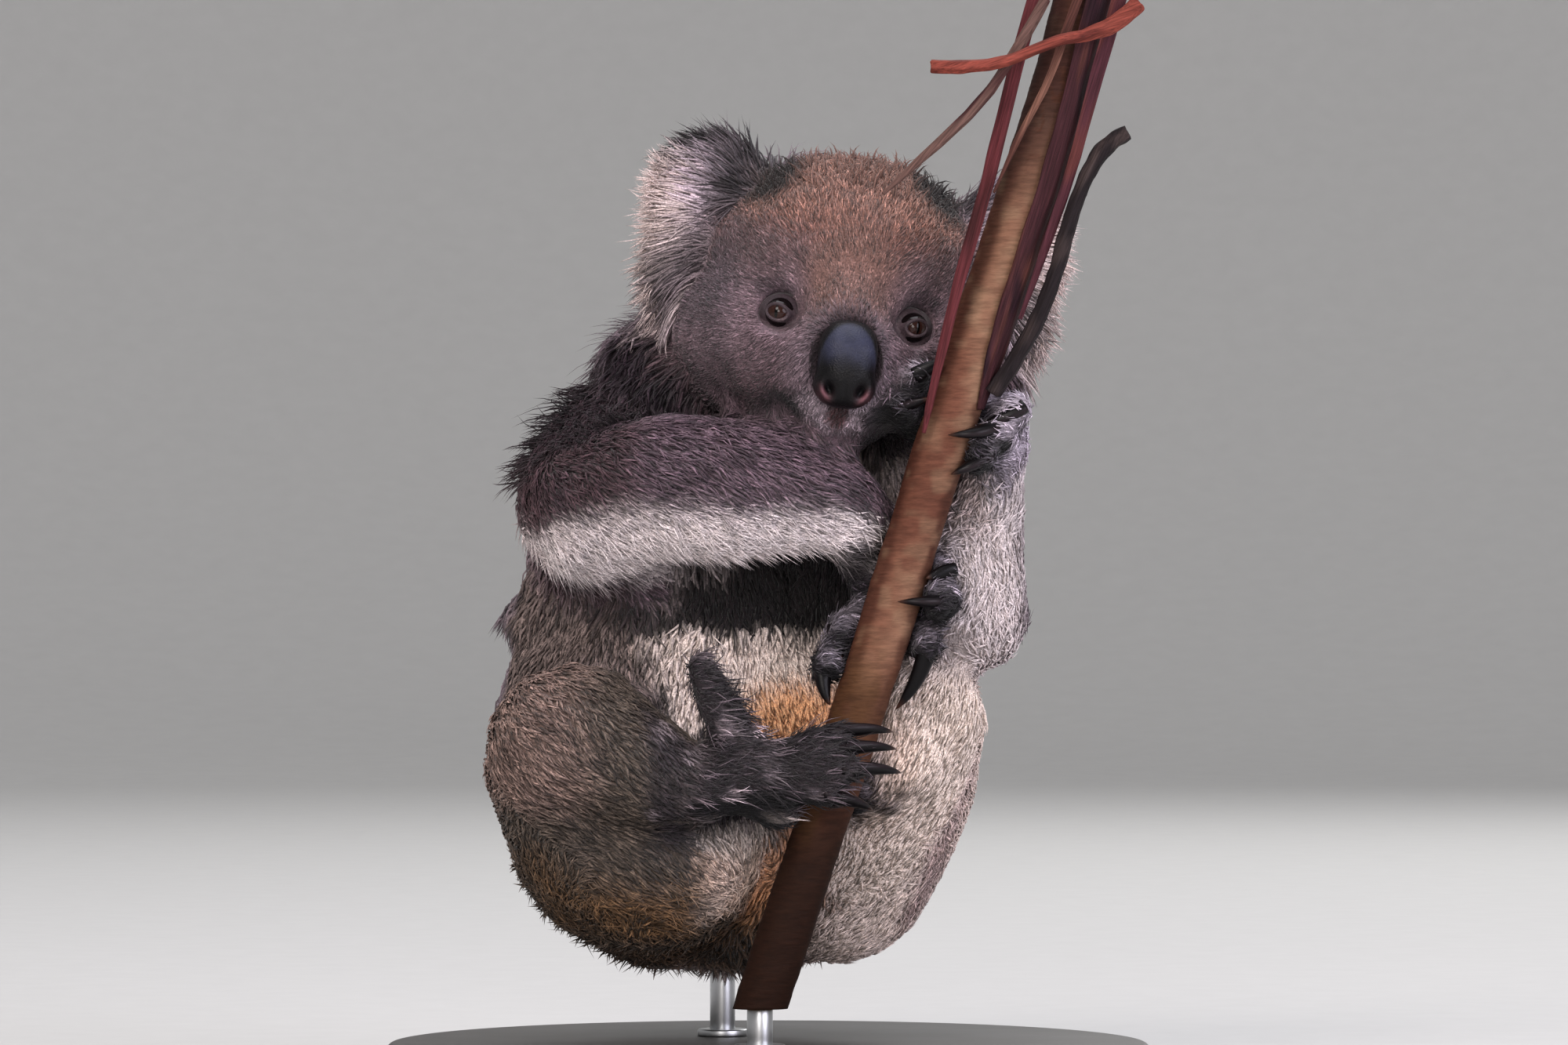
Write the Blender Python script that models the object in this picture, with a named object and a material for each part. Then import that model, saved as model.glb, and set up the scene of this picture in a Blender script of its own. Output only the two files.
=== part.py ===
"""A koala clinging to a thin gum-tree trunk: a still, life-size museum model.

Metres, +Z up.  The animal faces -Y, its right side is towards -X, and the origin is
the middle of the display base's underside.  The flesh nodes reach out to the tips of
the coat.  Each one is a lump of overlapping balls and tapered limbs, fused and
smoothed, and then cut back from the pieces that it meets.
"""
import math

import bmesh
import bpy
import numpy as np
from mathutils import Matrix, Vector

GAP = 0.0004                      # clearance between pieces that touch
FLAT_ANGLE = math.radians(1.2)    # faces flatter to each other than this are merged
MERGE = 0.000002                  # points closer than this are one point

# ---- display stand -------------------------------------------------------------
BASE_RADIUS = 0.180
BASE_THICK = 0.020
BASE_BEVEL = 0.003
BASE_SIDES = 44
ROD_RADIUS = 0.006
ROD_SIDES = 20
ROD_BODY_PLACE = (-0.022, 0.050)
ROD_BODY_TOP = 0.066

# ---- perch: centre line and radius (x, y, z, radius), foot to top --------------
PERCH_ROUTE = [
    (-0.0038, -0.0700, 0.0400, 0.0125),
    (0.0176, -0.0700, 0.1068, 0.0130),
    (0.0441, -0.0700, 0.1805, 0.0126),
    (0.0640, -0.0710, 0.2503, 0.0124),
    (0.0816, -0.0740, 0.3062, 0.0127),
    (0.1008, -0.0790, 0.3621, 0.0130),
    (0.1248, -0.0860, 0.4353, 0.0130),
    (0.1477, -0.0930, 0.5239, 0.0125),
]
PERCH_RINGS, PERCH_SIDES = 12, 12
BRANCH_RINGS, BRANCH_SIDES = 11, 7
BRANCH_ROUTE = [
    (0.1040, -0.0830, 0.3257, 0.0042),
    (0.1205, -0.0880, 0.3511, 0.0040),
    (0.1316, -0.0920, 0.3774, 0.0036),
    (0.1369, -0.0940, 0.3968, 0.0039),
    (0.1456, -0.0960, 0.4231, 0.0036),
    (0.1553, -0.0970, 0.4387, 0.0042),
    (0.1660, -0.0980, 0.4455, 0.0037),
]
# a sheet of old bark still on the trunk's +X side: height, first angle, last angle
BARK_SHEET = [(0.318, 52, 70), (0.326, 34, 104), (0.345, 24, 122), (0.375, 18, 132),
              (0.410, 14, 136), (0.450, 16, 134), (0.490, 12, 136), (0.5225, 14, 134)]
SHEET_ROWS, SHEET_COLUMNS = 9, 6
BARK_THICK = 0.0015
SHEET_OFF = 0.0011                # clear of the trunk's flat facets
# loose strips that face the front: (x, y, z, half width) up their length
STRIP_LEFT = [(0.0720, -0.0900, 0.3070, 0.0010), (0.0759, -0.0935, 0.3256, 0.0022),
              (0.0841, -0.0975, 0.3616, 0.0026), (0.0941, -0.1005, 0.3976, 0.0033),
              (0.1044, -0.1035, 0.4342, 0.0036), (0.1122, -0.1050, 0.4695, 0.0036),
              (0.1258, -0.1060, 0.5172, 0.0036)]
STRIP_EDGE = [(0.1165, -0.0900, 0.3598, 0.0012), (0.1300, -0.0945, 0.3978, 0.0024),
              (0.1416, -0.0975, 0.4345, 0.0030), (0.1523, -0.1000, 0.4746, 0.0036),
              (0.1649, -0.1010, 0.5175, 0.0040)]
STRIP_SHRED = [(0.1038, -0.1090, 0.4173, 0.0006), (0.1160, -0.1085, 0.4440, 0.0014),
               (0.1286, -0.1095, 0.4683, 0.0018), (0.1442, -0.1085, 0.5112, 0.0022)]
STRIPS = {"bark_strip_left": (STRIP_LEFT, (-0.35, -1.0, 0.0)),
          "bark_strip_edge": (STRIP_EDGE, (0.45, -1.0, 0.0)),
          "bark_strip_shred": (STRIP_SHRED, (0.0, -1.0, 0.0))}
STRIP_THICK = 0.0009              # half thickness of a loose strip
STRIP_RINGS, STRIP_SIDES = 9, 6
PEEL_RINGS, CURL_RINGS = 7, 10
PEEL_ROUTE = [(0.0529, -0.1200, 0.4162, 0.0009), (0.0720, -0.1190, 0.4338, 0.0021),
              (0.0914, -0.1180, 0.4518, 0.0024), (0.1077, -0.1165, 0.4718, 0.0026),
              (0.1275, -0.1135, 0.5060, 0.0026)]
CURL_ROUTE = [(0.0746, -0.1230, 0.4745, 0.0034), (0.0923, -0.1240, 0.4743, 0.0032),
              (0.1075, -0.1235, 0.4761, 0.0029), (0.1195, -0.1225, 0.4812, 0.0027),
              (0.1351, -0.1195, 0.4872, 0.0027), (0.1499, -0.1120, 0.4900, 0.0036),
              (0.1617, -0.1080, 0.4966, 0.0042), (0.1706, -0.1060, 0.5045, 0.0040)]

# ---- head: its own frame, x to its left, y backwards, z up ----------------------
HEAD_CENTRE = (0.0345, -0.004, 0.3675)
HEAD_ROLL = math.radians(6.5)
HEAD_YAW = math.radians(3.0)
HEAD_FRAME = (Matrix.Translation(HEAD_CENTRE) @ Matrix.Rotation(HEAD_ROLL, 4, "Y")
              @ Matrix.Rotation(HEAD_YAW, 4, "Z"))
EYE_RADIUS = 0.0080
EYE_PLACE = (0.0325, -0.0530, -0.0062)
ORBIT_RADII = (0.0125, 0.0060, 0.0100)
NOSE_PLACE = (0.0005, -0.0870, -0.0262)
NOSE_RADII = (0.0152, 0.0140, 0.0216)
NOSE_SPREAD = 0.14                # how much wider the nose pad is low down

# ---- digits that wrap the perch: angle (0 front, 90 = +X side) and height from the
# palm to the fingertip, their radius, how far they arch off the bark between and stand
# off it at the fingertip, and the angle and height of the claw's tip
DIGIT_RADIUS = 0.0074
CLAW_RADIUS = 0.0039
CLAW_RINGS, CLAW_SIDES = 5, 5
HAND_L = {1: dict(turn=(215, 292), high=(0.318, 0.3350), claw=(312, 0.3410), radius=0.0066),
          2: dict(turn=(205, 276), high=(0.306, 0.3190), claw=(306, 0.3230), radius=0.0078),
          3: dict(turn=(140, 80), high=(0.320, 0.3180), claw=(62, 0.3100), arch=0.006, off=0.009),
          4: dict(turn=(136, 66), high=(0.306, 0.3080), claw=(6, 0.3060), arch=0.008, off=0.002),
          5: dict(turn=(130, 70), high=(0.295, 0.2950), claw=(34, 0.2880), radius=0.0080)}
HAND_R = {1: dict(turn=(215, 268), high=(0.214, 0.1980), claw=(284, 0.1810), radius=0.0096),
          2: dict(turn=(205, 256), high=(0.224, 0.2140), claw=(276, 0.2010), radius=0.0084),
          3: dict(turn=(150, 80), high=(0.244, 0.2425), claw=(52, 0.2400), radius=0.0062),
          4: dict(turn=(146, 68), high=(0.228, 0.2290), claw=(8, 0.2290), radius=0.0098),
          5: dict(turn=(140, 78), high=(0.210, 0.2070), claw=(86, 0.1790), radius=0.0088)}
FOOT_L = {2: dict(turn=(190, 268), high=(0.152, 0.1600), claw=(300, 0.1620), radius=0.0062),
          3: dict(turn=(190, 266), high=(0.146, 0.1500), claw=(300, 0.1520), radius=0.0062),
          4: dict(turn=(190, 264), high=(0.140, 0.1400), claw=(302, 0.1405)),
          5: dict(turn=(188, 262), high=(0.133, 0.1300), claw=(298, 0.1290))}
# the right foot lies across the front of the perch: knuckle, fingertip, claw tip
FOOT_R = {2: [(0.010, -0.104, 0.161), (0.0330, -0.1090, 0.1690), (0.0574, -0.0990, 0.1690)],
          3: [(0.010, -0.106, 0.157), (0.0335, -0.1110, 0.1610), (0.0590, -0.0995, 0.1610)],
          4: [(0.012, -0.106, 0.150), (0.0380, -0.1110, 0.1515), (0.0612, -0.0970, 0.1500)],
          5: [(0.008, -0.103, 0.142), (0.0290, -0.1080, 0.1390), (0.0481, -0.0975, 0.1330)]}

# ---- flesh: balls (centre, radii) and limbs ((x, y, z, radius) along a curve) ---
HEAD_BALLS = [((0.000, 0.012, 0.012), (0.0740, 0.0720, 0.0650)),
              ((-0.040, 0.000, -0.020), (0.0440, 0.0540, 0.0450)),
              ((0.040, 0.000, -0.020), (0.0440, 0.0540, 0.0450)),
              ((0.000, -0.026, 0.020), (0.0560, 0.0420, 0.0440)),
              ((-0.021, -0.036, -0.028), (0.0360, 0.0380, 0.0330)),
              ((0.021, -0.036, -0.028), (0.0360, 0.0380, 0.0330)),
              ((0.000, -0.058, -0.031), (0.0360, 0.0350, 0.0300)),
              ((0.000, -0.046, -0.050), (0.0280, 0.0300, 0.0240)),
              ((0.000, -0.058, -0.008), (0.0230, 0.0260, 0.0260))]
EAR_R_BALLS = [((-0.062, 0.010, 0.041), (0.0325, 0.0170, 0.0365)),
               ((-0.074, 0.012, 0.012), (0.0205, 0.0140, 0.0310))]
EAR_L_BALLS = [((0.070, 0.012, 0.035), (0.0330, 0.0170, 0.0360)),
               ((0.081, 0.014, 0.006), (0.0200, 0.0140, 0.0290))]
SHOULDER_R, ELBOW_R = (-0.0520, 0.0360, 0.2960), (-0.0830, -0.0230, 0.2730)
SHOULDER_L, ELBOW_L = (0.0680, 0.0450, 0.2860), (0.0970, -0.0120, 0.2200)
HIP_R, KNEE_R = (-0.0480, 0.0350, 0.1100), (-0.0920, -0.0470, 0.1620)
HIP_L, KNEE_L = (0.0300, 0.0380, 0.1050), (0.0750, -0.0270, 0.1770)
WRIST_R, WRIST_L = (0.0450, -0.0520, 0.2570), (0.1050, -0.0420, 0.2860)
ANKLE_R, ANKLE_L = (-0.0330, -0.0910, 0.1440), (0.0560, -0.0410, 0.1480)

# Each lump: voxel size for fusing, faces to keep, its balls, limbs and digits, and the
# planes (point, normal) that part it into the named nodes, from one end to the other.
FLESH = {
    "hand_l": dict(voxel=0.0021, faces=330, digits=HAND_L, ease=8,
                   balls=[((0.1065, -0.0475, 0.3060), (0.0165, 0.0150, 0.0190)),
                          ((0.0930, -0.0470, 0.3120), (0.0160, 0.0105, 0.0170))],
                   limbs=[[(0.1060, -0.0440, 0.2860, 0.0150), (0.1060, -0.0470, 0.3010, 0.0160)]]),
    "hand_r": dict(voxel=0.0021, faces=310, digits=HAND_R,
                   balls=[((0.0590, -0.0440, 0.2270), (0.0220, 0.0125, 0.0230))],
                   limbs=[[(0.0440, -0.0490, 0.2560, 0.0165), (0.0530, -0.0450, 0.2360, 0.0150)]]),
    "foot_l": dict(voxel=0.0021, faces=300, digits=FOOT_L,
                   balls=[((0.0370, -0.0440, 0.1450), (0.0250, 0.0120, 0.0180))],
                   limbs=[[(0.0580, -0.0400, 0.1500, 0.0170), (0.0420, -0.0430, 0.1450, 0.0150)]]),
    "foot_r": dict(voxel=0.0021, faces=440, digits=FOOT_R,
                   balls=[((-0.0020, -0.1000, 0.1500), (0.0260, 0.0150, 0.0175))],
                   limbs=[[(-0.0300, -0.0930, 0.1440, 0.0180), (-0.0050, -0.0980, 0.1500, 0.0160)],
                          [(-0.0100, -0.0980, 0.1560, 0.0110), (-0.0220, -0.0980, 0.1780, 0.0105),
                           (-0.0320, -0.0960, 0.2000, 0.0080)],
                          [(-0.0060, -0.0960, 0.1360, 0.0100), (0.0060, -0.0960, 0.1290, 0.0080)]]),
    "head": dict(voxel=0.0040, faces=540, balls=HEAD_BALLS, frame=HEAD_FRAME, ease=9),
    "ear_r": dict(voxel=0.0030, faces=200, balls=EAR_R_BALLS, frame=HEAD_FRAME),
    "ear_l": dict(voxel=0.0030, faces=200, balls=EAR_L_BALLS, frame=HEAD_FRAME),
    "arm_r": dict(voxel=0.0040, faces=460, names=["upper_arm_r", "forearm_r"],
                  limbs=[[(*SHOULDER_R, 0.0520), (-0.0740, 0.0080, 0.2820, 0.0460),
                          (*ELBOW_R, 0.0370), (-0.0540, -0.0430, 0.2820, 0.0370),
                          (-0.0200, -0.0540, 0.2810, 0.0360), (0.0120, -0.0600, 0.2790, 0.0300),
                          (0.0360, -0.0600, 0.2740, 0.0230), (*WRIST_R, 0.0180)]]),
    "arm_l": dict(voxel=0.0040, faces=360, names=["upper_arm_l", "forearm_l"],
                  limbs=[[(*SHOULDER_L, 0.0460), (0.0860, 0.0180, 0.2480, 0.0360),
                          (*ELBOW_L, 0.0290), (0.0950, -0.0300, 0.2520, 0.0280),
                          (*WRIST_L, 0.0190)]]),
    "leg_r": dict(voxel=0.0040, faces=420, names=["thigh_r", "shin_r"],
                  balls=[((-0.0530, -0.0280, 0.1140), (0.0560, 0.0480, 0.0520))],
                  limbs=[[(*HIP_R, 0.0600), (-0.0700, -0.0080, 0.1230, 0.0560), (*KNEE_R, 0.0420),
                          (-0.0620, -0.0720, 0.1530, 0.0300), (*ANKLE_R, 0.0200)]]),
    "leg_l": dict(voxel=0.0040, faces=360, names=["thigh_l", "shin_l"],
                  limbs=[[(*HIP_L, 0.0530), (0.0550, 0.0040, 0.1400, 0.0450), (*KNEE_L, 0.0300),
                          (0.0660, -0.0360, 0.1610, 0.0250), (*ANKLE_L, 0.0190)]]),
    "torso": dict(voxel=0.0050, faces=520, names=["rump", "belly", "chest", "neck"], ease=12,
                  planes=[((-0.018, 0.045, 0.128), (0.12, 0.10, 1.0)),
                          ((0.000, 0.045, 0.214), (0.12, 0.0, 1.0)),
                          ((0.012, 0.040, 0.304), (0.10, -0.12, 1.0))],
                  balls=[((0.0220, 0.0350, 0.3250), (0.0800, 0.0620, 0.0540)),
                         ((-0.0360, 0.0280, 0.3290), (0.0520, 0.0500, 0.0480)),
                         ((0.0840, 0.0220, 0.3280), (0.0450, 0.0480, 0.0420)),
                         ((-0.0060, 0.0560, 0.2600), (0.1120, 0.0700, 0.0740)),
                         ((-0.0150, 0.0560, 0.2150), (0.1170, 0.0740, 0.0700)),
                         ((-0.0200, 0.0460, 0.1720), (0.1160, 0.0870, 0.0820)),
                         ((-0.0080, 0.0060, 0.1620), (0.0700, 0.0500, 0.0520)),
                         ((-0.0180, 0.0520, 0.1220), (0.0980, 0.0850, 0.0770))]),
}
# an arm or leg is parted at the joint, by the plane that halves its bend
BENDS = {"arm_r": (SHOULDER_R, ELBOW_R, WRIST_R), "arm_l": (SHOULDER_L, ELBOW_L, WRIST_L),
         "leg_r": (HIP_R, KNEE_R, ANKLE_R), "leg_l": (HIP_L, KNEE_L, ANKLE_L)}

# ---- finishes: sRGB hex, roughness, metallic -----------------------------------
FINISH = {
    "fur": ("6B6059", 0.85, 0.0),
    "fur_dark": ("3E3836", 0.80, 0.0),
    "eye": ("2A1712", 0.12, 0.0),
    "nose": ("2B2D33", 0.45, 0.0),
    "claw": ("1C1A1B", 0.35, 0.0),
    "bark": ("A98A6C", 0.75, 0.0),
    "bark_dark": ("5A3530", 0.80, 0.0),
    "stand_board": ("D8D4CC", 0.45, 0.0),
    "stand_steel": ("B8BABD", 0.35, 1.0),
}
# a node's finish by how its name starts
NODE_FINISH = (("stand_base", "stand_board"), ("stand_rod", "stand_steel"), ("perch_", "bark_dark"),
               ("perch", "bark"), ("bark", "bark_dark"), ("claw", "claw"), ("eye", "eye"),
               ("nose", "nose"), ("hand", "fur_dark"), ("foot", "fur_dark"), ("", "fur"))


def clear_scene():
    """Empty the scene of the objects that Blender starts with."""
    for item in list(bpy.data.objects):
        bpy.data.objects.remove(item, do_unlink=True)


def linear(hex_colour):
    """The linear colour of an sRGB hex value."""
    parts = [int(hex_colour[i:i + 2], 16) / 255 for i in (0, 2, 4)]
    return [c / 12.92 if c <= 0.04045 else ((c + 0.055) / 1.055) ** 2.4 for c in parts] + [1.0]


def material(name, finish):
    """A Principled material of one colour, roughness and metallic value."""
    colour, rough, metallic = FINISH[finish]
    made = bpy.data.materials.new(name)
    made.use_nodes = True
    shader = made.node_tree.nodes["Principled BSDF"]
    shader.inputs["Base Color"].default_value = linear(colour)
    shader.inputs["Roughness"].default_value = rough
    shader.inputs["Metallic"].default_value = metallic
    return made


def smooth_path(points, count):
    """A Catmull-Rom curve through the points, sampled at even steps of its parameter."""
    knots = np.array(points, dtype=float)
    ends = np.vstack([2 * knots[0] - knots[1], knots, 2 * knots[-1] - knots[-2]])
    place = np.linspace(0, len(knots) - 1, count)
    span = np.minimum(place.astype(int), len(knots) - 2)
    t = (place - span)[:, None]
    p0, p1, p2, p3 = (ends[span + k] for k in range(4))
    return 0.5 * (2 * p1 + (p2 - p0) * t + (2 * p0 - 5 * p1 + 4 * p2 - p3) * t ** 2
                  + (3 * p1 - p0 - 3 * p2 + p3) * t ** 3)


def perch_at(height):
    """The perch's centre and bark radius at a height."""
    route = smooth_path(PERCH_ROUTE, 200)
    row = [np.interp(height, route[:, 2], route[:, k]) for k in (0, 1, 3)]
    return Vector((row[0], row[1], height)), row[2]


def around(height, angle, off):
    """A point off the bark: angle in degrees, 0 at the front and 90 on the +X side."""
    centre, radius = perch_at(height)
    turn = math.radians(angle)
    return centre + Vector((math.sin(turn), -math.cos(turn), 0)) * (radius + off)


def tube(route, sides, flat=1.0, facing=None, level_ends=False):
    """A capped tube along (x, y, z, radius) rings; flat squeezes it along `facing`."""
    rings = np.array(route, dtype=float)
    ahead = np.gradient(rings[:, :3], axis=0)
    bm = bmesh.new()
    side = Vector((1.0, 0.0, 0.0))
    loops = []
    for ring, direction in zip(rings, ahead):
        along = Vector(direction).normalized()
        if facing is not None:
            side = along.cross(Vector(facing)).normalized()
        side = (side - along * side.dot(along)).normalized()
        up = along.cross(side)
        loop = []
        for k in range(sides):
            turn = 2 * math.pi * k / sides
            rim = side * math.cos(turn) + up * math.sin(turn) * flat
            point = Vector(ring[:3]) + rim * ring[3]
            if level_ends and len(loops) in (0, len(rings) - 1):
                point -= along * ((point.z - ring[2]) / along.z)
            loop.append(bm.verts.new(point))
        loops.append(loop)
    for low, high in zip(loops, loops[1:]):
        for k in range(sides):
            bm.faces.new((low[k], low[(k + 1) % sides], high[(k + 1) % sides], high[k]))
    bm.faces.new(loops[0][::-1])
    bm.faces.new(loops[-1])
    bmesh.ops.recalc_face_normals(bm, faces=bm.faces)
    return finished_mesh(bm)


def finished_mesh(bm):
    """A triangulated mesh from a bmesh, which is freed."""
    bmesh.ops.triangulate(bm, faces=bm.faces[:])
    mesh = bpy.data.meshes.new("shape")
    bm.to_mesh(mesh)
    bm.free()
    return mesh


def add_ball(bm, centre, radii):
    """An ellipsoid lump."""
    shape = Matrix.Translation(centre) @ Matrix.Diagonal((*radii, 1.0))
    bmesh.ops.create_icosphere(bm, subdivisions=3, radius=1.0, matrix=shape)


def add_limb(bm, points):
    """A tapered limb: balls set close together along the curve through the points."""
    length = sum((Vector(a[:3]) - Vector(b[:3])).length for a, b in zip(points, points[1:]))
    least = min(point[3] for point in points)
    count = max(4, int(length / (0.35 * least)))
    for x, y, z, radius in smooth_path(points, count):
        add_ball(bm, (x, y, z), (radius, radius, radius))


def digit_radius(digit):
    """A digit's own radius, or the common one."""
    return digit.get("radius", DIGIT_RADIUS) if isinstance(digit, dict) else DIGIT_RADIUS


def digit_route(digit):
    """Route of one digit, ending where its claw starts, and the claw's own route."""
    if isinstance(digit, list):
        knuckle, tip, claw_tip = (Vector(p) for p in digit)
        rise = Vector((0.0, -0.004, 0.002))
        middle = (tip + claw_tip) / 2 + rise
        return [knuckle, (knuckle + tip) / 2 + rise / 2, tip], [tip, middle, claw_tip]
    (turn_0, turn_1), (high_0, high_1) = digit["turn"], digit["high"]
    clear = digit_radius(digit) + 0.0006
    arch, tip_off = digit.get("arch", 0.0), digit.get("off", 0.0)
    flesh = [around(high_0 + (high_1 - high_0) * t, turn_0 + (turn_1 - turn_0) * t,
                    clear + arch * math.sin(math.pi * t) + tip_off * t)
             for t in (0.0, 0.4, 0.75, 1.0)]
    claw_turn, claw_high = digit["claw"]
    root_off, point_off = clear + tip_off, CLAW_RADIUS - 0.0008
    claw = [around(high_1 + (claw_high - high_1) * t, turn_1 + (claw_turn - turn_1) * t,
                   root_off + (point_off - root_off) * t + 0.0030 * math.sin(math.pi * t))
            for t in (0.0, 0.5, 1.0)]
    return flesh, claw


def claw_mesh(digit):
    """A curved claw, thick at its root inside the fingertip and sharp at its tip."""
    centre = smooth_path([tuple(p) for p in digit_route(digit)[1]], CLAW_RINGS)
    along = np.linspace(0, 1, len(centre))
    radius = CLAW_RADIUS * (1 - along ** 1.7) + 0.0005
    return tube(np.column_stack([centre, radius]), CLAW_SIDES)


def evaluated(thing):
    """The mesh of an object with its modifiers, as a new mesh."""
    graph = bpy.context.evaluated_depsgraph_get()
    return bpy.data.meshes.new_from_object(thing.evaluated_get(graph))


def scratch_object(mesh):
    """An object for modifiers to work on, taken away afterwards."""
    thing = bpy.data.objects.new("scratch", mesh)
    bpy.context.scene.collection.objects.link(thing)
    return thing


def lump_mesh(plan):
    """Balls and limbs fused into one skin, smoothed and brought down to few faces."""
    bm = bmesh.new()
    for centre, radii in plan.get("balls", []):
        add_ball(bm, centre, radii)
    for points in plan.get("limbs", []):
        add_limb(bm, points)
    for digit in plan.get("digits", {}).values():
        flesh, _ = digit_route(digit)
        add_limb(bm, [(*p, digit_radius(digit)) for p in flesh])
    thing = scratch_object(finished_mesh(bm))
    fuse = thing.modifiers.new("fuse", "REMESH")
    fuse.mode = "VOXEL"
    fuse.voxel_size = plan["voxel"]
    ease = thing.modifiers.new("ease", "SMOOTH")
    ease.factor = 0.5
    ease.iterations = plan.get("ease", 6)
    dense = evaluated(thing)
    thin = thing.modifiers.new("thin", "DECIMATE")
    thin.use_collapse_triangulate = True
    thin.ratio = min(1.0, plan["faces"] / (4 * len(dense.polygons)))
    mesh = evaluated(thing)
    bpy.data.objects.remove(thing)
    mesh.transform(plan.get("frame", Matrix.Identity(4)))
    return mesh


def bend_plane(upper, middle, lower):
    """The plane through a joint that halves the angle of its two bones."""
    to_upper = (Vector(upper) - Vector(middle)).normalized()
    to_lower = (Vector(lower) - Vector(middle)).normalized()
    return middle, to_lower - to_upper


def parted(mesh, planes):
    """The capped pieces of a closed mesh between planes, a gap apart."""
    pieces = []
    for k in range(len(planes) + 1):
        bm = bmesh.new()
        bm.from_mesh(mesh)
        sides = [(planes[k - 1], 1)] if k > 0 else []
        sides += [(planes[k], -1)] if k < len(planes) else []
        for (point, normal), keep in sides:
            outward = Vector(normal).normalized() * -keep
            bmesh.ops.bisect_plane(bm, geom=bm.verts[:] + bm.edges[:] + bm.faces[:], dist=1e-6,
                                   plane_co=Vector(point) - outward * GAP / 2,
                                   plane_no=outward, clear_outer=True)
            rim = [edge for edge in bm.edges if edge.is_boundary]
            bmesh.ops.triangle_fill(bm, edges=rim, use_beauty=True, normal=outward)
        bmesh.ops.recalc_face_normals(bm, faces=bm.faces)
        pieces.append(finished_mesh(bm))
    return pieces


def box_of(mesh):
    """Lowest and highest corner of a mesh."""
    points = np.empty(len(mesh.vertices) * 3)
    mesh.vertices.foreach_get("co", points)
    points = points.reshape(-1, 3)
    return points.min(0), points.max(0)


def swollen(mesh, amount):
    """A copy of a mesh moved outwards along its normals."""
    copy = mesh.copy()
    bm = bmesh.new()
    bm.from_mesh(copy)
    bm.normal_update()
    for vert in bm.verts:
        vert.co += vert.normal * amount
    bm.to_mesh(copy)
    bm.free()
    return copy


def largest_body(mesh):
    """Only the biggest connected body of a mesh, triangulated."""
    bm = bmesh.new()
    bm.from_mesh(mesh)
    bmesh.ops.remove_doubles(bm, verts=bm.verts, dist=MERGE)
    bmesh.ops.dissolve_degenerate(bm, dist=MERGE, edges=bm.edges)
    left = set(bm.faces)
    bodies = []
    while left:
        stack = [left.pop()]
        body = list(stack)
        while stack:
            for edge in stack.pop().edges:
                for face in edge.link_faces:
                    if face in left:
                        left.remove(face)
                        stack.append(face)
                        body.append(face)
        bodies.append(body)
    bodies.sort(key=lambda faces: sum(face.calc_area() for face in faces))
    loose = [face for body in bodies[:-1] for face in body]
    bmesh.ops.delete(bm, geom=loose, context="FACES")
    bmesh.ops.dissolve_limit(bm, angle_limit=FLAT_ANGLE, verts=bm.verts, edges=bm.edges)
    return finished_mesh(bm)


def carved(mesh, cutters):
    """The mesh with each cutter, grown by the gap, taken out of it."""
    low, high = box_of(mesh)
    thing = scratch_object(mesh)
    tools = []
    for cutter in cutters:
        cut_low, cut_high = box_of(cutter)
        if (cut_low > high + GAP).any() or (cut_high < low - GAP).any():
            continue
        tool = scratch_object(swollen(cutter, GAP))
        cut = thing.modifiers.new("cut", "BOOLEAN")
        cut.operation = "DIFFERENCE"
        cut.solver = "EXACT"
        cut.use_self = True
        cut.object = tool
        tools.append(tool)
    result = largest_body(evaluated(thing))
    for item in tools + [thing]:
        bpy.data.objects.remove(item)
    return result


def place(name, mesh, finish, smooth=True):
    """Put a finished mesh in the scene as a named node with its own material."""
    thing = bpy.data.objects.new(name, mesh)
    mesh.name = name
    bpy.context.scene.collection.objects.link(thing)
    mesh.materials.clear()
    mesh.materials.append(material(name + "_finish", finish))
    if smooth:
        mesh.shade_smooth()
    return thing


def bark_sheet():
    """The curved sheet of old bark: a grid of angles and heights, given a wall."""
    plan = np.array(BARK_SHEET)
    heights = np.linspace(plan[0, 0], plan[-1, 0], SHEET_ROWS)
    edges = [np.interp(heights, plan[:, 0], plan[:, k]) for k in (1, 2)]
    steps = np.linspace(0, 1, SHEET_COLUMNS + 1)
    bm = bmesh.new()
    walls = [[[bm.verts.new(around(high, first + (last - first) * t, off)) for t in steps]
              for high, first, last in zip(heights, *edges)]
             for off in (SHEET_OFF, SHEET_OFF + BARK_THICK)]
    inner, outer = walls
    for row in (0, -1):
        for k in range(SHEET_COLUMNS):
            bm.faces.new((inner[row][k], inner[row][k + 1], outer[row][k + 1], outer[row][k]))
    for j in range(SHEET_ROWS - 1):
        for wall in walls:
            for k in range(SHEET_COLUMNS):
                bm.faces.new((wall[j][k], wall[j][k + 1], wall[j + 1][k + 1], wall[j + 1][k]))
        for k in (0, SHEET_COLUMNS):
            bm.faces.new((inner[j][k], inner[j + 1][k], outer[j + 1][k], outer[j][k]))
    bmesh.ops.recalc_face_normals(bm, faces=bm.faces)
    return finished_mesh(bm)


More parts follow.
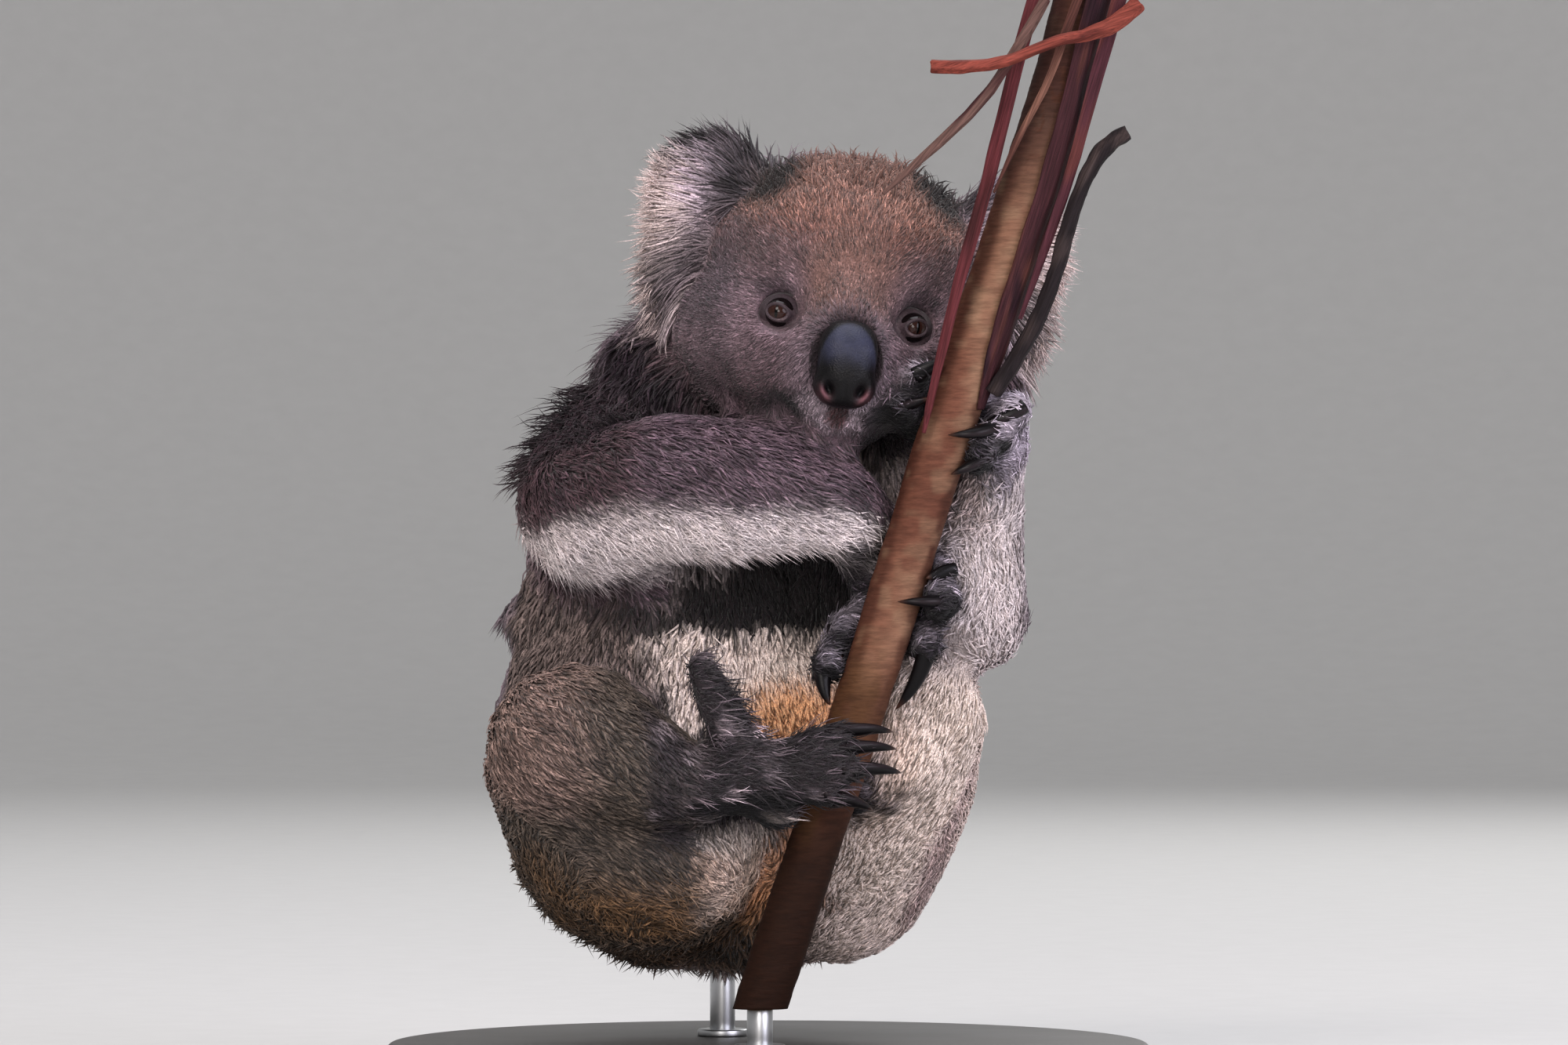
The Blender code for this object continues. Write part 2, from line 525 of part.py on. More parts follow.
def build_perch():
    """The cut trunk, its cut side branch and the strips of loose bark on it."""
    meshes = {"perch": tube(smooth_path(PERCH_ROUTE, PERCH_RINGS), PERCH_SIDES, level_ends=True),
              "perch_branch": tube(smooth_path(BRANCH_ROUTE, BRANCH_RINGS), BRANCH_SIDES),
              "bark_sheet": bark_sheet()}
    for name, (rows, facing) in STRIPS.items():
        flat = STRIP_THICK / max(row[3] for row in rows)
        meshes[name] = tube(smooth_path(rows, STRIP_RINGS), STRIP_SIDES, flat=flat, facing=facing)
    meshes["bark_peel"] = tube(smooth_path(PEEL_ROUTE, PEEL_RINGS), STRIP_SIDES)
    meshes["bark_curl"] = tube(smooth_path(CURL_ROUTE, CURL_RINGS), STRIP_SIDES)
    return meshes


def build_stand():
    """A round board and two short steel rods, one to the perch and one to the body."""
    bm = bmesh.new()
    bmesh.ops.create_cone(bm, cap_ends=True, segments=BASE_SIDES, radius1=BASE_RADIUS,
                          radius2=BASE_RADIUS, depth=BASE_THICK,
                          matrix=Matrix.Translation((0, 0, BASE_THICK / 2)))
    rim = [e for e in bm.edges if all(v.co.z > BASE_THICK / 2 for v in e.verts)]
    bmesh.ops.bevel(bm, geom=rim, offset=BASE_BEVEL, segments=1, affect="EDGES")
    meshes = {"stand_base": finished_mesh(bm)}
    rods = {"stand_rod_perch": PERCH_ROUTE[0][:3],
            "stand_rod_body": (*ROD_BODY_PLACE, ROD_BODY_TOP)}
    for name, (x, y, top) in rods.items():
        low, high = BASE_THICK + GAP, top - GAP
        bm = bmesh.new()
        bmesh.ops.create_cone(bm, cap_ends=True, segments=ROD_SIDES, radius1=ROD_RADIUS,
                              radius2=ROD_RADIUS, depth=high - low,
                              matrix=Matrix.Translation((x, y, (low + high) / 2)))
        meshes[name] = finished_mesh(bm)
    return meshes


def build_face():
    """Eyeballs and nose pad, placed in the head's frame."""
    meshes = {}
    for name, side in (("eye_r", -1), ("eye_l", 1)):
        bm = bmesh.new()
        bmesh.ops.create_uvsphere(bm, u_segments=12, v_segments=7, radius=EYE_RADIUS)
        mesh = finished_mesh(bm)
        x, y, z = EYE_PLACE
        mesh.transform(HEAD_FRAME @ Matrix.Translation((x * side, y, z)))
        meshes[name] = mesh
    bm = bmesh.new()
    bmesh.ops.create_uvsphere(bm, u_segments=14, v_segments=9, radius=1.0)
    for vert in bm.verts:
        wide = 1.0 + NOSE_SPREAD * max(0.0, -vert.co.z)
        vert.co = Vector((vert.co.x * wide, vert.co.y, vert.co.z))
    mesh = finished_mesh(bm)
    mesh.transform(HEAD_FRAME @ Matrix.Translation(NOSE_PLACE)
                   @ Matrix.Diagonal((*NOSE_RADII, 1.0)))
    meshes["nose"] = mesh
    return meshes


def orbit_bowls():
    """The shallow bowls round the eyes, as cutters."""
    bowls = []
    for side in (-1, 1):
        x, y, z = EYE_PLACE
        bm = bmesh.new()
        bmesh.ops.create_icosphere(bm, subdivisions=2, radius=1.0)
        mesh = finished_mesh(bm)
        mesh.transform(HEAD_FRAME @ Matrix.Translation((x * side, y - EYE_RADIUS - 0.0020, z))
                       @ Matrix.Diagonal((*ORBIT_RADII, 1.0)))
        bowls.append(mesh)
    return bowls


def build_claws():
    """Five claws on each hand and four on each foot, whose big toe has none."""
    meshes = {}
    for limb, digits in (("hand_l", HAND_L), ("hand_r", HAND_R),
                         ("foot_l", FOOT_L), ("foot_r", FOOT_R)):
        for number, digit in digits.items():
            meshes[f"claw_{limb}_{number}"] = claw_mesh(digit)
    return meshes


def finish_of(name):
    """The finish of a node, by how its name starts."""
    return next(finish for start, finish in NODE_FINISH if name.startswith(start))


def main():
    """Place the hard pieces first, then the flesh, each cut back from all before it."""
    clear_scene()
    stand, perch, face, claws = build_stand(), build_perch(), build_face(), build_claws()
    kept = {}
    for name, mesh in {**stand, **perch, **claws, **face}.items():
        whole = name in stand or name in face or name == "perch"
        shape = mesh.copy() if whole else carved(mesh.copy(), list(kept.values()))
        place(name, shape, finish_of(name), smooth=name not in stand)
        kept[name] = mesh
    for name, plan in FLESH.items():
        lump = lump_mesh(plan)
        planes = [bend_plane(*BENDS[name])] if name in BENDS else plan.get("planes", [])
        cutters = list(kept.values()) + (orbit_bowls() if name == "head" else [])
        for piece, mesh in zip(plan.get("names", [name]), parted(lump, planes)):
            place(piece, carved(mesh, cutters), finish_of(piece))
        kept[name] = lump


main()
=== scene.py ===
# %% [markdown]
# A life-size museum model of a koala that clings to a short length of a thin trunk,
# held by a plain display stand. The solids come packed from the CAD source. This
# lesson dresses them: one skin, a coat of small tufts, eyes, nose, claws, bark, stand.

# %% Load the frame
import itertools
import math

import bpy
import numpy as np
from mathutils import Matrix, Vector
from mathutils.bvhtree import BVHTree


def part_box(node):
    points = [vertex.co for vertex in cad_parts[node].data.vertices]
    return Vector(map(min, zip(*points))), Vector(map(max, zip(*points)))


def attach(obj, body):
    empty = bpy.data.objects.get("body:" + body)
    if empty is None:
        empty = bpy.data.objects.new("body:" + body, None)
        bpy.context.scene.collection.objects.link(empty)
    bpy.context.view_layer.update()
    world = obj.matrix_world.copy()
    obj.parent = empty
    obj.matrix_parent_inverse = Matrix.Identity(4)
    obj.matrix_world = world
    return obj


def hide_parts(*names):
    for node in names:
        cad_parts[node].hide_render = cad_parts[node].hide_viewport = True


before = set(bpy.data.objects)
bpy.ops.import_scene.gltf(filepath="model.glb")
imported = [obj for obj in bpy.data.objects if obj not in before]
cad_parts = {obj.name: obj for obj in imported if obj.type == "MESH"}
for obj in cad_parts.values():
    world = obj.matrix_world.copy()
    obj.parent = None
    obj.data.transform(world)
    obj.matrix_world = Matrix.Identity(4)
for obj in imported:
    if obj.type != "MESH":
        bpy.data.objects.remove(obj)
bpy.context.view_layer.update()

draws = np.random.default_rng(20240)

# %% [markdown]
# Small tools come first. Every shape below is worked out with numpy as whole arrays,
# and one function puts the arrays into a mesh. Another adds one shader node with its
# settings and links, so that a material reads as a short list.

# %% Tools for numbers and colours
def unit(vectors):
    """Each vector divided by its own length."""
    return vectors / np.maximum(np.linalg.norm(vectors, axis=-1, keepdims=True), 1e-12)


def ramp(low, high, values):
    """0 below low, 1 above high, and the smooth curve 3t^2 - 2t^3 between them."""
    t = np.clip((values - low) / (high - low), 0.0, 1.0)
    return t * t * (3.0 - 2.0 * t)


def turns(count):
    """Angles at even steps round a full turn."""
    return np.linspace(0.0, 2.0 * math.pi, count, endpoint=False)


def stirred(cells, salt, times):
    """For each lattice cell, whole numbers from 0 to 65535: its three numbers times large
    primes are joined by exclusive or, then multiplied and shifted again for each number."""
    key = cells[:, 0] * 73856093 ^ cells[:, 1] * 19349663 ^ cells[:, 2] * 83492791 ^ salt
    numbers = []
    for _ in range(times):
        key = (key ^ (key >> 13)) * 1274126177 & 0xFFFFFFFF
        numbers.append((key ^ (key >> 15)) & 0xFFFF)
    return numbers


def value_noise(points, size, seed=0):
    """Random numbers on a cubic lattice of that size, blended between corners, -1 to 1."""
    place = points / size + 512.0
    cell = np.floor(place).astype(np.int64)
    part = place - cell
    part = part * part * (3.0 - 2.0 * part)
    total = np.zeros(len(points))
    for corner in itertools.product((0, 1), repeat=3):
        number = stirred(cell + np.array(corner), (seed + 7) * 6542989, 1)[0] / 32767.5 - 1.0
        total += number * np.prod(np.where(np.array(corner) == 1, part, 1.0 - part), axis=1)
    return total


def linear(code):
    """An sRGB hex colour as linear red, green and blue."""
    part = np.array([int(code[i:i + 2], 16) for i in (0, 2, 4)]) / 255.0
    return np.where(part <= 0.04045, part / 12.92, ((part + 0.055) / 1.055) ** 2.4)


def opaque(code):
    """An sRGB hex colour as linear red, green and blue and full cover."""
    return (*linear(code), 1.0)


def plain(code, count):
    """The same linear colour for each of that many points."""
    return np.tile(linear(code), (count, 1))


def blend_in(colours, code, weight):
    """Colours moved towards a hex colour by a weight from 0 to 1 for each point."""
    return colours + (linear(code) - colours) * np.clip(weight, 0.0, 1.0)[:, None]


def oval(points, middle, sizes):
    """1 in the middle of an oval of those half sizes and 0 outside it, smooth between."""
    far = np.linalg.norm((points - np.array(middle)) / np.array(sizes), axis=1)
    return ramp(1.25, 0.6, far)


print("halfway up a ramp:", ramp(0.0, 1.0, 0.5))

# %% Tools for meshes
def surface(name, vertices, faces, material, slot=None):
    """A smooth mesh object from an array of points and a list of (n, 3) or (n, 4) face arrays."""
    mesh = bpy.data.meshes.new(name)
    sizes = np.concatenate([np.full(len(part), part.shape[1]) for part in faces])
    corners = np.concatenate([part.ravel() for part in faces]).astype(np.int32)
    starts = np.concatenate([[0], np.cumsum(sizes)[:-1]]).astype(np.int32)
    mesh.vertices.add(len(vertices))
    mesh.vertices.foreach_set("co", np.asarray(vertices, np.float32).ravel())
    mesh.loops.add(len(corners))
    mesh.loops.foreach_set("vertex_index", corners)
    mesh.polygons.add(len(sizes))
    mesh.polygons.foreach_set("loop_start", starts)
    mesh.polygons.foreach_set("use_smooth", np.full(len(sizes), True))
    mesh.update(calc_edges=True)
    mesh.validate()
    thing = bpy.data.objects.new(name, mesh)
    bpy.context.scene.collection.objects.link(thing)
    if material:
        mesh.materials.append(material)
    if slot:
        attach(thing, "root")
    return thing


def paint(thing, name, colours):
    """One linear colour for each vertex, kept as a colour attribute of that name."""
    layer = thing.data.color_attributes.new(name, "FLOAT_COLOR", "POINT")
    rows = np.ones((len(colours), 4), np.float32)
    rows[:, :3] = colours
    layer.data.foreach_set("color", rows.ravel())


def grid_faces(rows, columns, ring=False):
    """Quads of a grid of points whose columns close round, as its rows also do in a ring."""
    row, column = np.meshgrid(np.arange(rows if ring else rows - 1), np.arange(columns), indexing="ij")
    here, below, after = row * columns, (row + 1) % rows * columns, (column + 1) % columns
    return np.stack([here + column, here + after, below + after, below + column], axis=-1).reshape(-1, 4)


def capped(rings):
    """A (rows, columns, 3) grid of closed rings with a middle point at each end."""
    rows, columns, _ = rings.shape
    points = np.vstack([rings.reshape(-1, 3), rings[0].mean(0), rings[-1].mean(0)])
    here = np.arange(columns)
    after = (here + 1) % columns
    last = (rows - 1) * columns
    first_cap = np.stack([after, here, np.full(columns, rows * columns)], axis=1)
    last_cap = np.stack([last + here, last + after, np.full(columns, rows * columns + 1)], axis=1)
    return points, [grid_faces(rows, columns), first_cap, last_cap]


def turned(profile, sides):
    """A profile of (radius, height) rows carried round the vertical axis: rings of points."""
    profile = np.asarray(profile, float)
    turn = turns(sides)
    ring = np.stack([np.cos(turn), np.sin(turn)], axis=1)
    heights = np.broadcast_to(profile[:, None, 1:], (len(profile), sides, 1))
    return np.concatenate([profile[:, None, :1] * ring, heights], axis=2)


def outward(points, faces):
    """The faces turned over if the volume they close, the sum of a . (b x c), is negative."""
    volume = 0.0
    for part in faces:
        for k in range(1, part.shape[1] - 1):
            a, b, c = points[part[:, 0]], points[part[:, k]], points[part[:, k + 1]]
            volume += (a * np.cross(b, c)).sum()
    return faces if volume > 0 else [part[:, ::-1] for part in faces]


def sides_of(faces):
    """The two corners of each side of each face, the lower number first."""
    return np.sort(np.stack([faces, np.roll(faces, -1, axis=1)], axis=2).reshape(-1, 2), axis=1)


def neighbour_mean(values, edges):
    """The mean of the values at the far ends of each point's edges."""
    a, b = edges.T
    total = np.stack([np.bincount(a, column[b], len(values)) + np.bincount(b, column[a], len(values))
                      for column in values.T], axis=1)
    return total / np.bincount(edges.ravel(), minlength=len(values))[:, None]


print("squares of a grid of 3 closed rows of 4:", len(grid_faces(3, 4)))

# %% Tools for materials
def add(tree, kind, **values):
    """One shader node with its settings and links. A node or an output is linked, any other
    value is set. A socket goes by its name with _ for spaces, or by input_ and its number."""
    made = tree.nodes.new("ShaderNode" + kind)
    for key, value in values.items():
        by_number = key.startswith("input_")
        socket = made.inputs[int(key[6:])] if by_number else made.inputs.get(key.replace("_", " "))
        if isinstance(value, bpy.types.Node):
            value = value.outputs[0]
        if isinstance(value, bpy.types.NodeSocket):
            tree.links.new(value, socket)
        elif socket:
            socket.default_value = value
        else:
            setattr(made, key, value)
    return made


def new_material(name):
    """An empty node tree: returns the material and its tree."""
    material = bpy.data.materials.new(name)
    material.use_nodes = True
    material.node_tree.nodes.clear()
    return material, material.node_tree


def grained(tree, attribute, pattern, between, shades):
    """The colour kept in an attribute, scaled by a pattern: its values from the first to the
    second of between become the first to the second of shades."""
    level = add(tree, "MapRange", From_Min=between[0], From_Max=between[1], To_Min=shades[0],
                To_Max=shades[1], Value=pattern)
    colour = add(tree, "Attribute", attribute_name=attribute)
    return add(tree, "VectorMath", operation="SCALE", input_0=colour, Scale=level)


def finish(tree, **values):
    """The principled shader with these values, joined to the material's output."""
    add(tree, "OutputMaterial", Surface=add(tree, "BsdfPrincipled", **values))


print("mid grey as linear colour:", linear("808080").round(3))

# %% [markdown]
# The camera looks along +Y from four metres with a long lens, so that the head, the arm
# and the trunk keep their true sizes against each other. Wide soft lights stand round
# the model as in a studio. The floor curves up into a plain wall on every side, a
# round cove, so that no edge shows behind the model from anywhere.

# %% Camera, light and floor
CAMERA_PLACE = (0.0074, -4.0, 0.2656)
CAMERA_LENS = 194.4
LIGHT_AIM = (0.0, 0.0, 0.26)
LIGHTS = {
    # light: place, width of the disc, power in watts, colour
    "key": ((-1.3, -2.9, 2.5), 1.6, 66.0, "FFF4F0"),
    "fill": ((2.7, -2.5, 1.3), 2.8, 88.0, "F4F0FF"),
    "top": ((0.2, 0.2, 3.4), 2.6, 52.0, "F6F6FF"),
    "back": ((1.2, 3.0, 2.2), 2.4, 40.0, "FFFFFF"),
    "front": ((-0.4, -4.3, 1.1), 1.6, 42.0, "FFF8F4"),
    "catch": ((-0.6, -3.4, 1.5), 0.24, 4.0, "FFFFFF"),
}
COVE_FLAT, COVE_CURVE, COVE_HIGH, COVE_SIDES = 4.6, 2.6, 8.0, 96
FLOOR_GAP = 0.0005

lens = bpy.data.cameras.new("camera")
lens.lens = CAMERA_LENS
lens.sensor_width = 36.0
lens.clip_start = 0.01
camera = bpy.data.objects.new("camera", lens)
camera.location = CAMERA_PLACE
camera.rotation_euler = (math.pi / 2, 0.0, 0.0)
bpy.context.scene.collection.objects.link(camera)
bpy.context.scene.camera = camera

for name, (place, size, power, tint) in LIGHTS.items():
    lamp = bpy.data.lights.new(name, "AREA")
    lamp.shape = "DISK"
    lamp.size = size
    lamp.energy = power
    lamp.color = linear(tint)
    held = bpy.data.objects.new(name, lamp)
    held.location = place
    aim = Vector(LIGHT_AIM) - Vector(place)
    held.rotation_euler = aim.to_track_quat("-Z", "Y").to_euler()
    bpy.context.scene.collection.objects.link(held)

world = bpy.data.worlds.new("studio")
world.use_nodes = True
sky = world.node_tree.nodes["Background"]
sky.inputs["Color"].default_value = opaque("EEF1F3")
sky.inputs["Strength"].default_value = 0.65
bpy.context.scene.world = world
bpy.context.scene.view_settings.view_transform = "Standard"

# matt paint: no gloss, and clouds of tone about 25 mm wide
floor_paint, tree = new_material("matt_wall_paint")
place = add(tree, "TexCoord").outputs["Object"]
grain = add(tree, "TexNoise", Scale=40.0, Detail=4.0, Vector=place)
tone = add(tree, "Mix", data_type="RGBA", input_0=grain, input_6=opaque("C6C5C3"), input_7=opaque("CDCCCA"))
finish(tree, Roughness=0.9, Base_Color=tone.outputs[2])
bend = np.linspace(0.0, math.pi / 2, 13)
profile = [(0.001, 0.0), (COVE_FLAT / 2, 0.0)]
profile += list(zip(COVE_FLAT + COVE_CURVE * np.sin(bend), COVE_CURVE * (1 - np.cos(bend))))
profile += [(COVE_FLAT + COVE_CURVE, COVE_HIGH)]
rings = turned(profile, COVE_SIDES)
cove = surface("floor", rings.reshape(-1, 3) - (0, 0, FLOOR_GAP), [grid_faces(len(profile), COVE_SIDES)],
               floor_paint)
print("camera at", CAMERA_PLACE, "with", len(LIGHTS), "lights and a round cove")

# %% [markdown]
# The animal's skin has no seams, but the solids under it are separate. Copies of the
# flesh solids are grown a little until they touch and turned into one surface of
# even small squares. Then it is smoothed, and drawn in by the depth of the coat, which
# is thin on the face and paws and deep on the body and ears.

# %% One mesh from the flesh solids
COAT_DEPTH = {
    "head": 0.0030, "ear_r": 0.0065, "ear_l": 0.0065, "neck": 0.0065,
    "chest": 0.0065, "belly": 0.0050, "rump": 0.0040,
    "upper_arm_r": 0.0055, "upper_arm_l": 0.0045, "forearm_r": 0.0050, "forearm_l": 0.0040,
    "hand_r": 0.0014, "hand_l": 0.0014, "thigh_r": 0.0040, "thigh_l": 0.0040,
    "shin_r": 0.0040, "shin_l": 0.0040, "foot_r": 0.0018, "foot_l": 0.0014,
}
REGIONS = list(COAT_DEPTH)
GROWN = 0.0005  # how far each solid grows, so that neighbours touch
SQUARE = 0.00234  # the side of the skin's squares
SAMPLES = 420  # spots on each solid, to find which part is nearest


def solid_mesh(name):
    """Points and triangles of a CAD node, its loose triangles' equal corners merged."""
    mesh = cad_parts[name].data
    points = np.empty(len(mesh.vertices) * 3, np.float32)
    mesh.vertices.foreach_get("co", points)
    mesh.calc_loop_triangles()
    corners = np.empty(len(mesh.loop_triangles) * 3, np.int32)
    mesh.loop_triangles.foreach_get("vertices", corners)
    kept, number = np.unique(np.round(points.reshape(-1, 3), 6), axis=0, return_inverse=True)
    return kept.astype(float), number.ravel()[corners].reshape(-1, 3)


def point_normals(points, triangles):
    """Each point's normal: the sum of its triangles' edge cross products, made unit."""
    a, b, c = (points[triangles[:, i]] for i in range(3))
    turn = np.cross(b - a, c - a)
    total = np.stack([sum(np.bincount(triangles[:, i], turn[:, k], len(points)) for i in range(3))
                      for k in range(3)], axis=1)
    return unit(total)


def scattered(points, triangles, count, weight=None):
    """Random spots on a surface: triangle numbers and corner shares, by area times weight."""
    a, b, c = (points[triangles[:, i]] for i in range(3))
    area = np.linalg.norm(np.cross(b - a, c - a), axis=1)
    chance = area if weight is None else area * weight
    picked = draws.choice(len(triangles), count, p=chance / chance.sum())
    far = np.sqrt(draws.random(count))
    other = draws.random(count)
    shares = np.stack([1 - far, far * (1 - other), far * other], axis=1)
    return picked, shares


def spread(values, triangles, picked, shares):
    """Values kept at the points, read at scattered spots on the triangles."""
    return (values[triangles[picked]] * shares[..., None]).sum(axis=1)


stacked, sides, spots, offset = [], [], [], 0
for region in REGIONS:
    points, triangles = solid_mesh(region)
    spots.append(spread(points, triangles, *scattered(points, triangles, SAMPLES)))
    stacked.append(points + GROWN * point_normals(points, triangles))
    sides.append(triangles + offset)
    offset += len(points)
spots, labels = np.concatenate(spots), np.repeat(np.arange(len(REGIONS)), SAMPLES)

rough = surface("rough_skin", np.concatenate(stacked), [np.concatenate(sides)], None)
remesh = rough.modifiers.new("squares", "REMESH")
remesh.mode = "VOXEL"
remesh.voxel_size = SQUARE
made = rough.evaluated_get(bpy.context.evaluated_depsgraph_get()).to_mesh()
skin_points = np.empty(len(made.vertices) * 3, np.float32)
made.vertices.foreach_get("co", skin_points)
skin_points = skin_points.reshape(-1, 3).astype(float)
quads = np.empty(len(made.loops), np.int32)
made.loops.foreach_get("vertex_index", quads)
quads = quads.reshape(-1, 4)
rough.to_mesh_clear()
bpy.data.objects.remove(rough)
skin_triangles = np.concatenate([quads[:, [0, 1, 2]], quads[:, [0, 2, 3]]])
print("skin:", len(skin_points), "points,", len(quads), "squares")

# %% Which part of the body each point belongs to
def nearest(points, samples, step=4000):
    """The number of the nearest sample to each point, by |p|^2 - 2 p.s + |s|^2."""
    found = np.empty(len(points), np.int64)
    lengths = (samples ** 2).sum(1)
    for start in range(0, len(points), step):
        block = points[start:start + step]
        found[start:start + step] = (lengths - 2.0 * block @ samples.T).argmin(1)
    return found


skin_edges = np.unique(sides_of(quads), axis=0)


def relaxed(values, rounds, amount=0.5):
    """Values at skin points moved by amount to the mean of their neighbours, in rounds."""
    values = values.copy()
    amount = np.broadcast_to(np.asarray(amount, float), (len(values),))[:, None]
    for _ in range(rounds):
        values += amount * (neighbour_mean(values, skin_edges) - values)
    return values


share_of = np.zeros((len(skin_points), len(REGIONS)))
share_of[np.arange(len(skin_points)), labels[nearest(skin_points, spots)]] = 1.0
share_of = relaxed(share_of, 14)
share_of /= share_of.sum(1, keepdims=True)


def share(*names, rows=share_of):
    """How far each skin point, or each of the given rows of shares, is of these parts, 0 to 1."""
    return rows[:, [REGIONS.index(name) for name in names]].sum(1)


print("regions:", {name: int((share(name) > 0.5).sum()) for name in REGIONS})

# %% The skin, smoothed and drawn in by the coat's depth
# the head's middle and turn in the CAD source; eyes and nose are places in its frame
HEAD_CENTRE = np.array((0.0345, -0.0040, 0.3675))
HEAD_TURN = np.array(Matrix.Rotation(math.radians(6.5), 3, "Y")
                     @ Matrix.Rotation(math.radians(3.0), 3, "Z"))
EYE_SPOTS = np.array(((-0.0311, -0.0542, -0.0074), (0.0311, -0.0542, -0.0074)))
NOSE_SPOT = np.array((0.0005, -0.0872, -0.0286))
CROWN_EXTRA = 0.0035  # the coat is this much deeper behind the face
CLEAR = 0.012  # hair roots only where this much air lies over the skin


def in_head(points):
    """Points in the head's own frame: x to its left, y back, z up from its middle."""
    return (points - HEAD_CENTRE) @ HEAD_TURN


def from_head(points):
    """Points of the head's own frame back in the model's."""
    return points @ HEAD_TURN.T + HEAD_CENTRE


fine_parts = share("head", "hand_r", "hand_l", "foot_r", "foot_l", "ear_r", "ear_l")
skin_points = relaxed(skin_points, 4)
skin_points = relaxed(skin_points, 14, 0.5 * (1.0 - ramp(0.2, 0.8, fine_parts)))
normals = relaxed(point_normals(skin_points, skin_triangles), 6)
depth = share_of @ np.array([COAT_DEPTH[name] for name in REGIONS])
face_side = ramp(0.02, -0.04, in_head(skin_points)[:, 1]) * share("head")
depth += share("head") * (1.0 - face_side) * CROWN_EXTRA
skin_points = relaxed(skin_points - unit(normals) * depth[:, None], 3)
normals = unit(relaxed(point_normals(skin_points, skin_triangles), 3))
tree_of_skin = BVHTree.FromPolygons(skin_points.tolist(), quads.tolist())
open_air = np.array([tree_of_skin.ray_cast(Vector(p + n * 0.002), Vector(n), CLEAR)[0] is None
                     for p, n in zip(skin_points, normals)], float)
open_air = relaxed(open_air[:, None], 3)[:, 0]
print("coat depth from", round(depth.min() * 1000, 1), "to", round(depth.max() * 1000, 1),
      "mm; in the open:", round(float((open_air > 0.5).mean()), 2))

# %% [markdown]
# A koala's markings are soft: grey-brown back and arms, a reddish crown, lilac-grey
# cheeks, dark neck and paws, a cream front with a rusty patch, and white under the arms.
# One function gives the colour anywhere, and both the skin and the coat read it, so that
# a gap between locks shows the same colour beneath, darkened as painted shade. Some of
# the tints are painted shade too: under and beside the chin, over the eyes, round the ears,
# under the right arm and the left hand, and low on the body.

# %% The markings
TINTS = {
    "back": "70626A", "crown": "7A544C", "crown_pale": "A2786A", "brow": "6E585B",
    "bridge": "7E5E55", "cheek": "7E6870", "cheek_deep": "523F45", "muzzle": "826F79",
    "under_chin_shade": "3E3037", "lids": "3A2E33", "brow_shadow": "3E3239", "lip": "AA98A2",
    "philtrum": "4E3033", "fold_shade_and_nose_rim": "141115", "ear_dark_and_shade": "070608", "ear_shade": "4A3F46",
    "ear_pale": "C2B0BC", "ear_cream": "E0CDC9", "neck": "2C2029", "flank": "6E605C",
    "shoulder": "33242B", "arm": "64515B", "arm_dark": "3F2F37", "arm_out": "4E3A3F",
    "fringe": "F0E4E4", "cream": "FFEEE6", "orange": "FFC08C", "paw": "2E272B",
    "paw_pale": "94868C", "underarm_shade": "1C1618", "thigh": "554A42", "thigh_high": "846E66",
    "thigh_low": "664C34", "shade_low": "32251A", "tan": "CC9268", "edge": "8F7476",
    "white": "F4E2D8", "bright": "D6CACB", "hand_shade_on_arm": "8F7C78", "hand": "C4B8C6",
    "hand_dark": "231E24", "rump": "B0A098", "palm": "0F0D10",
}


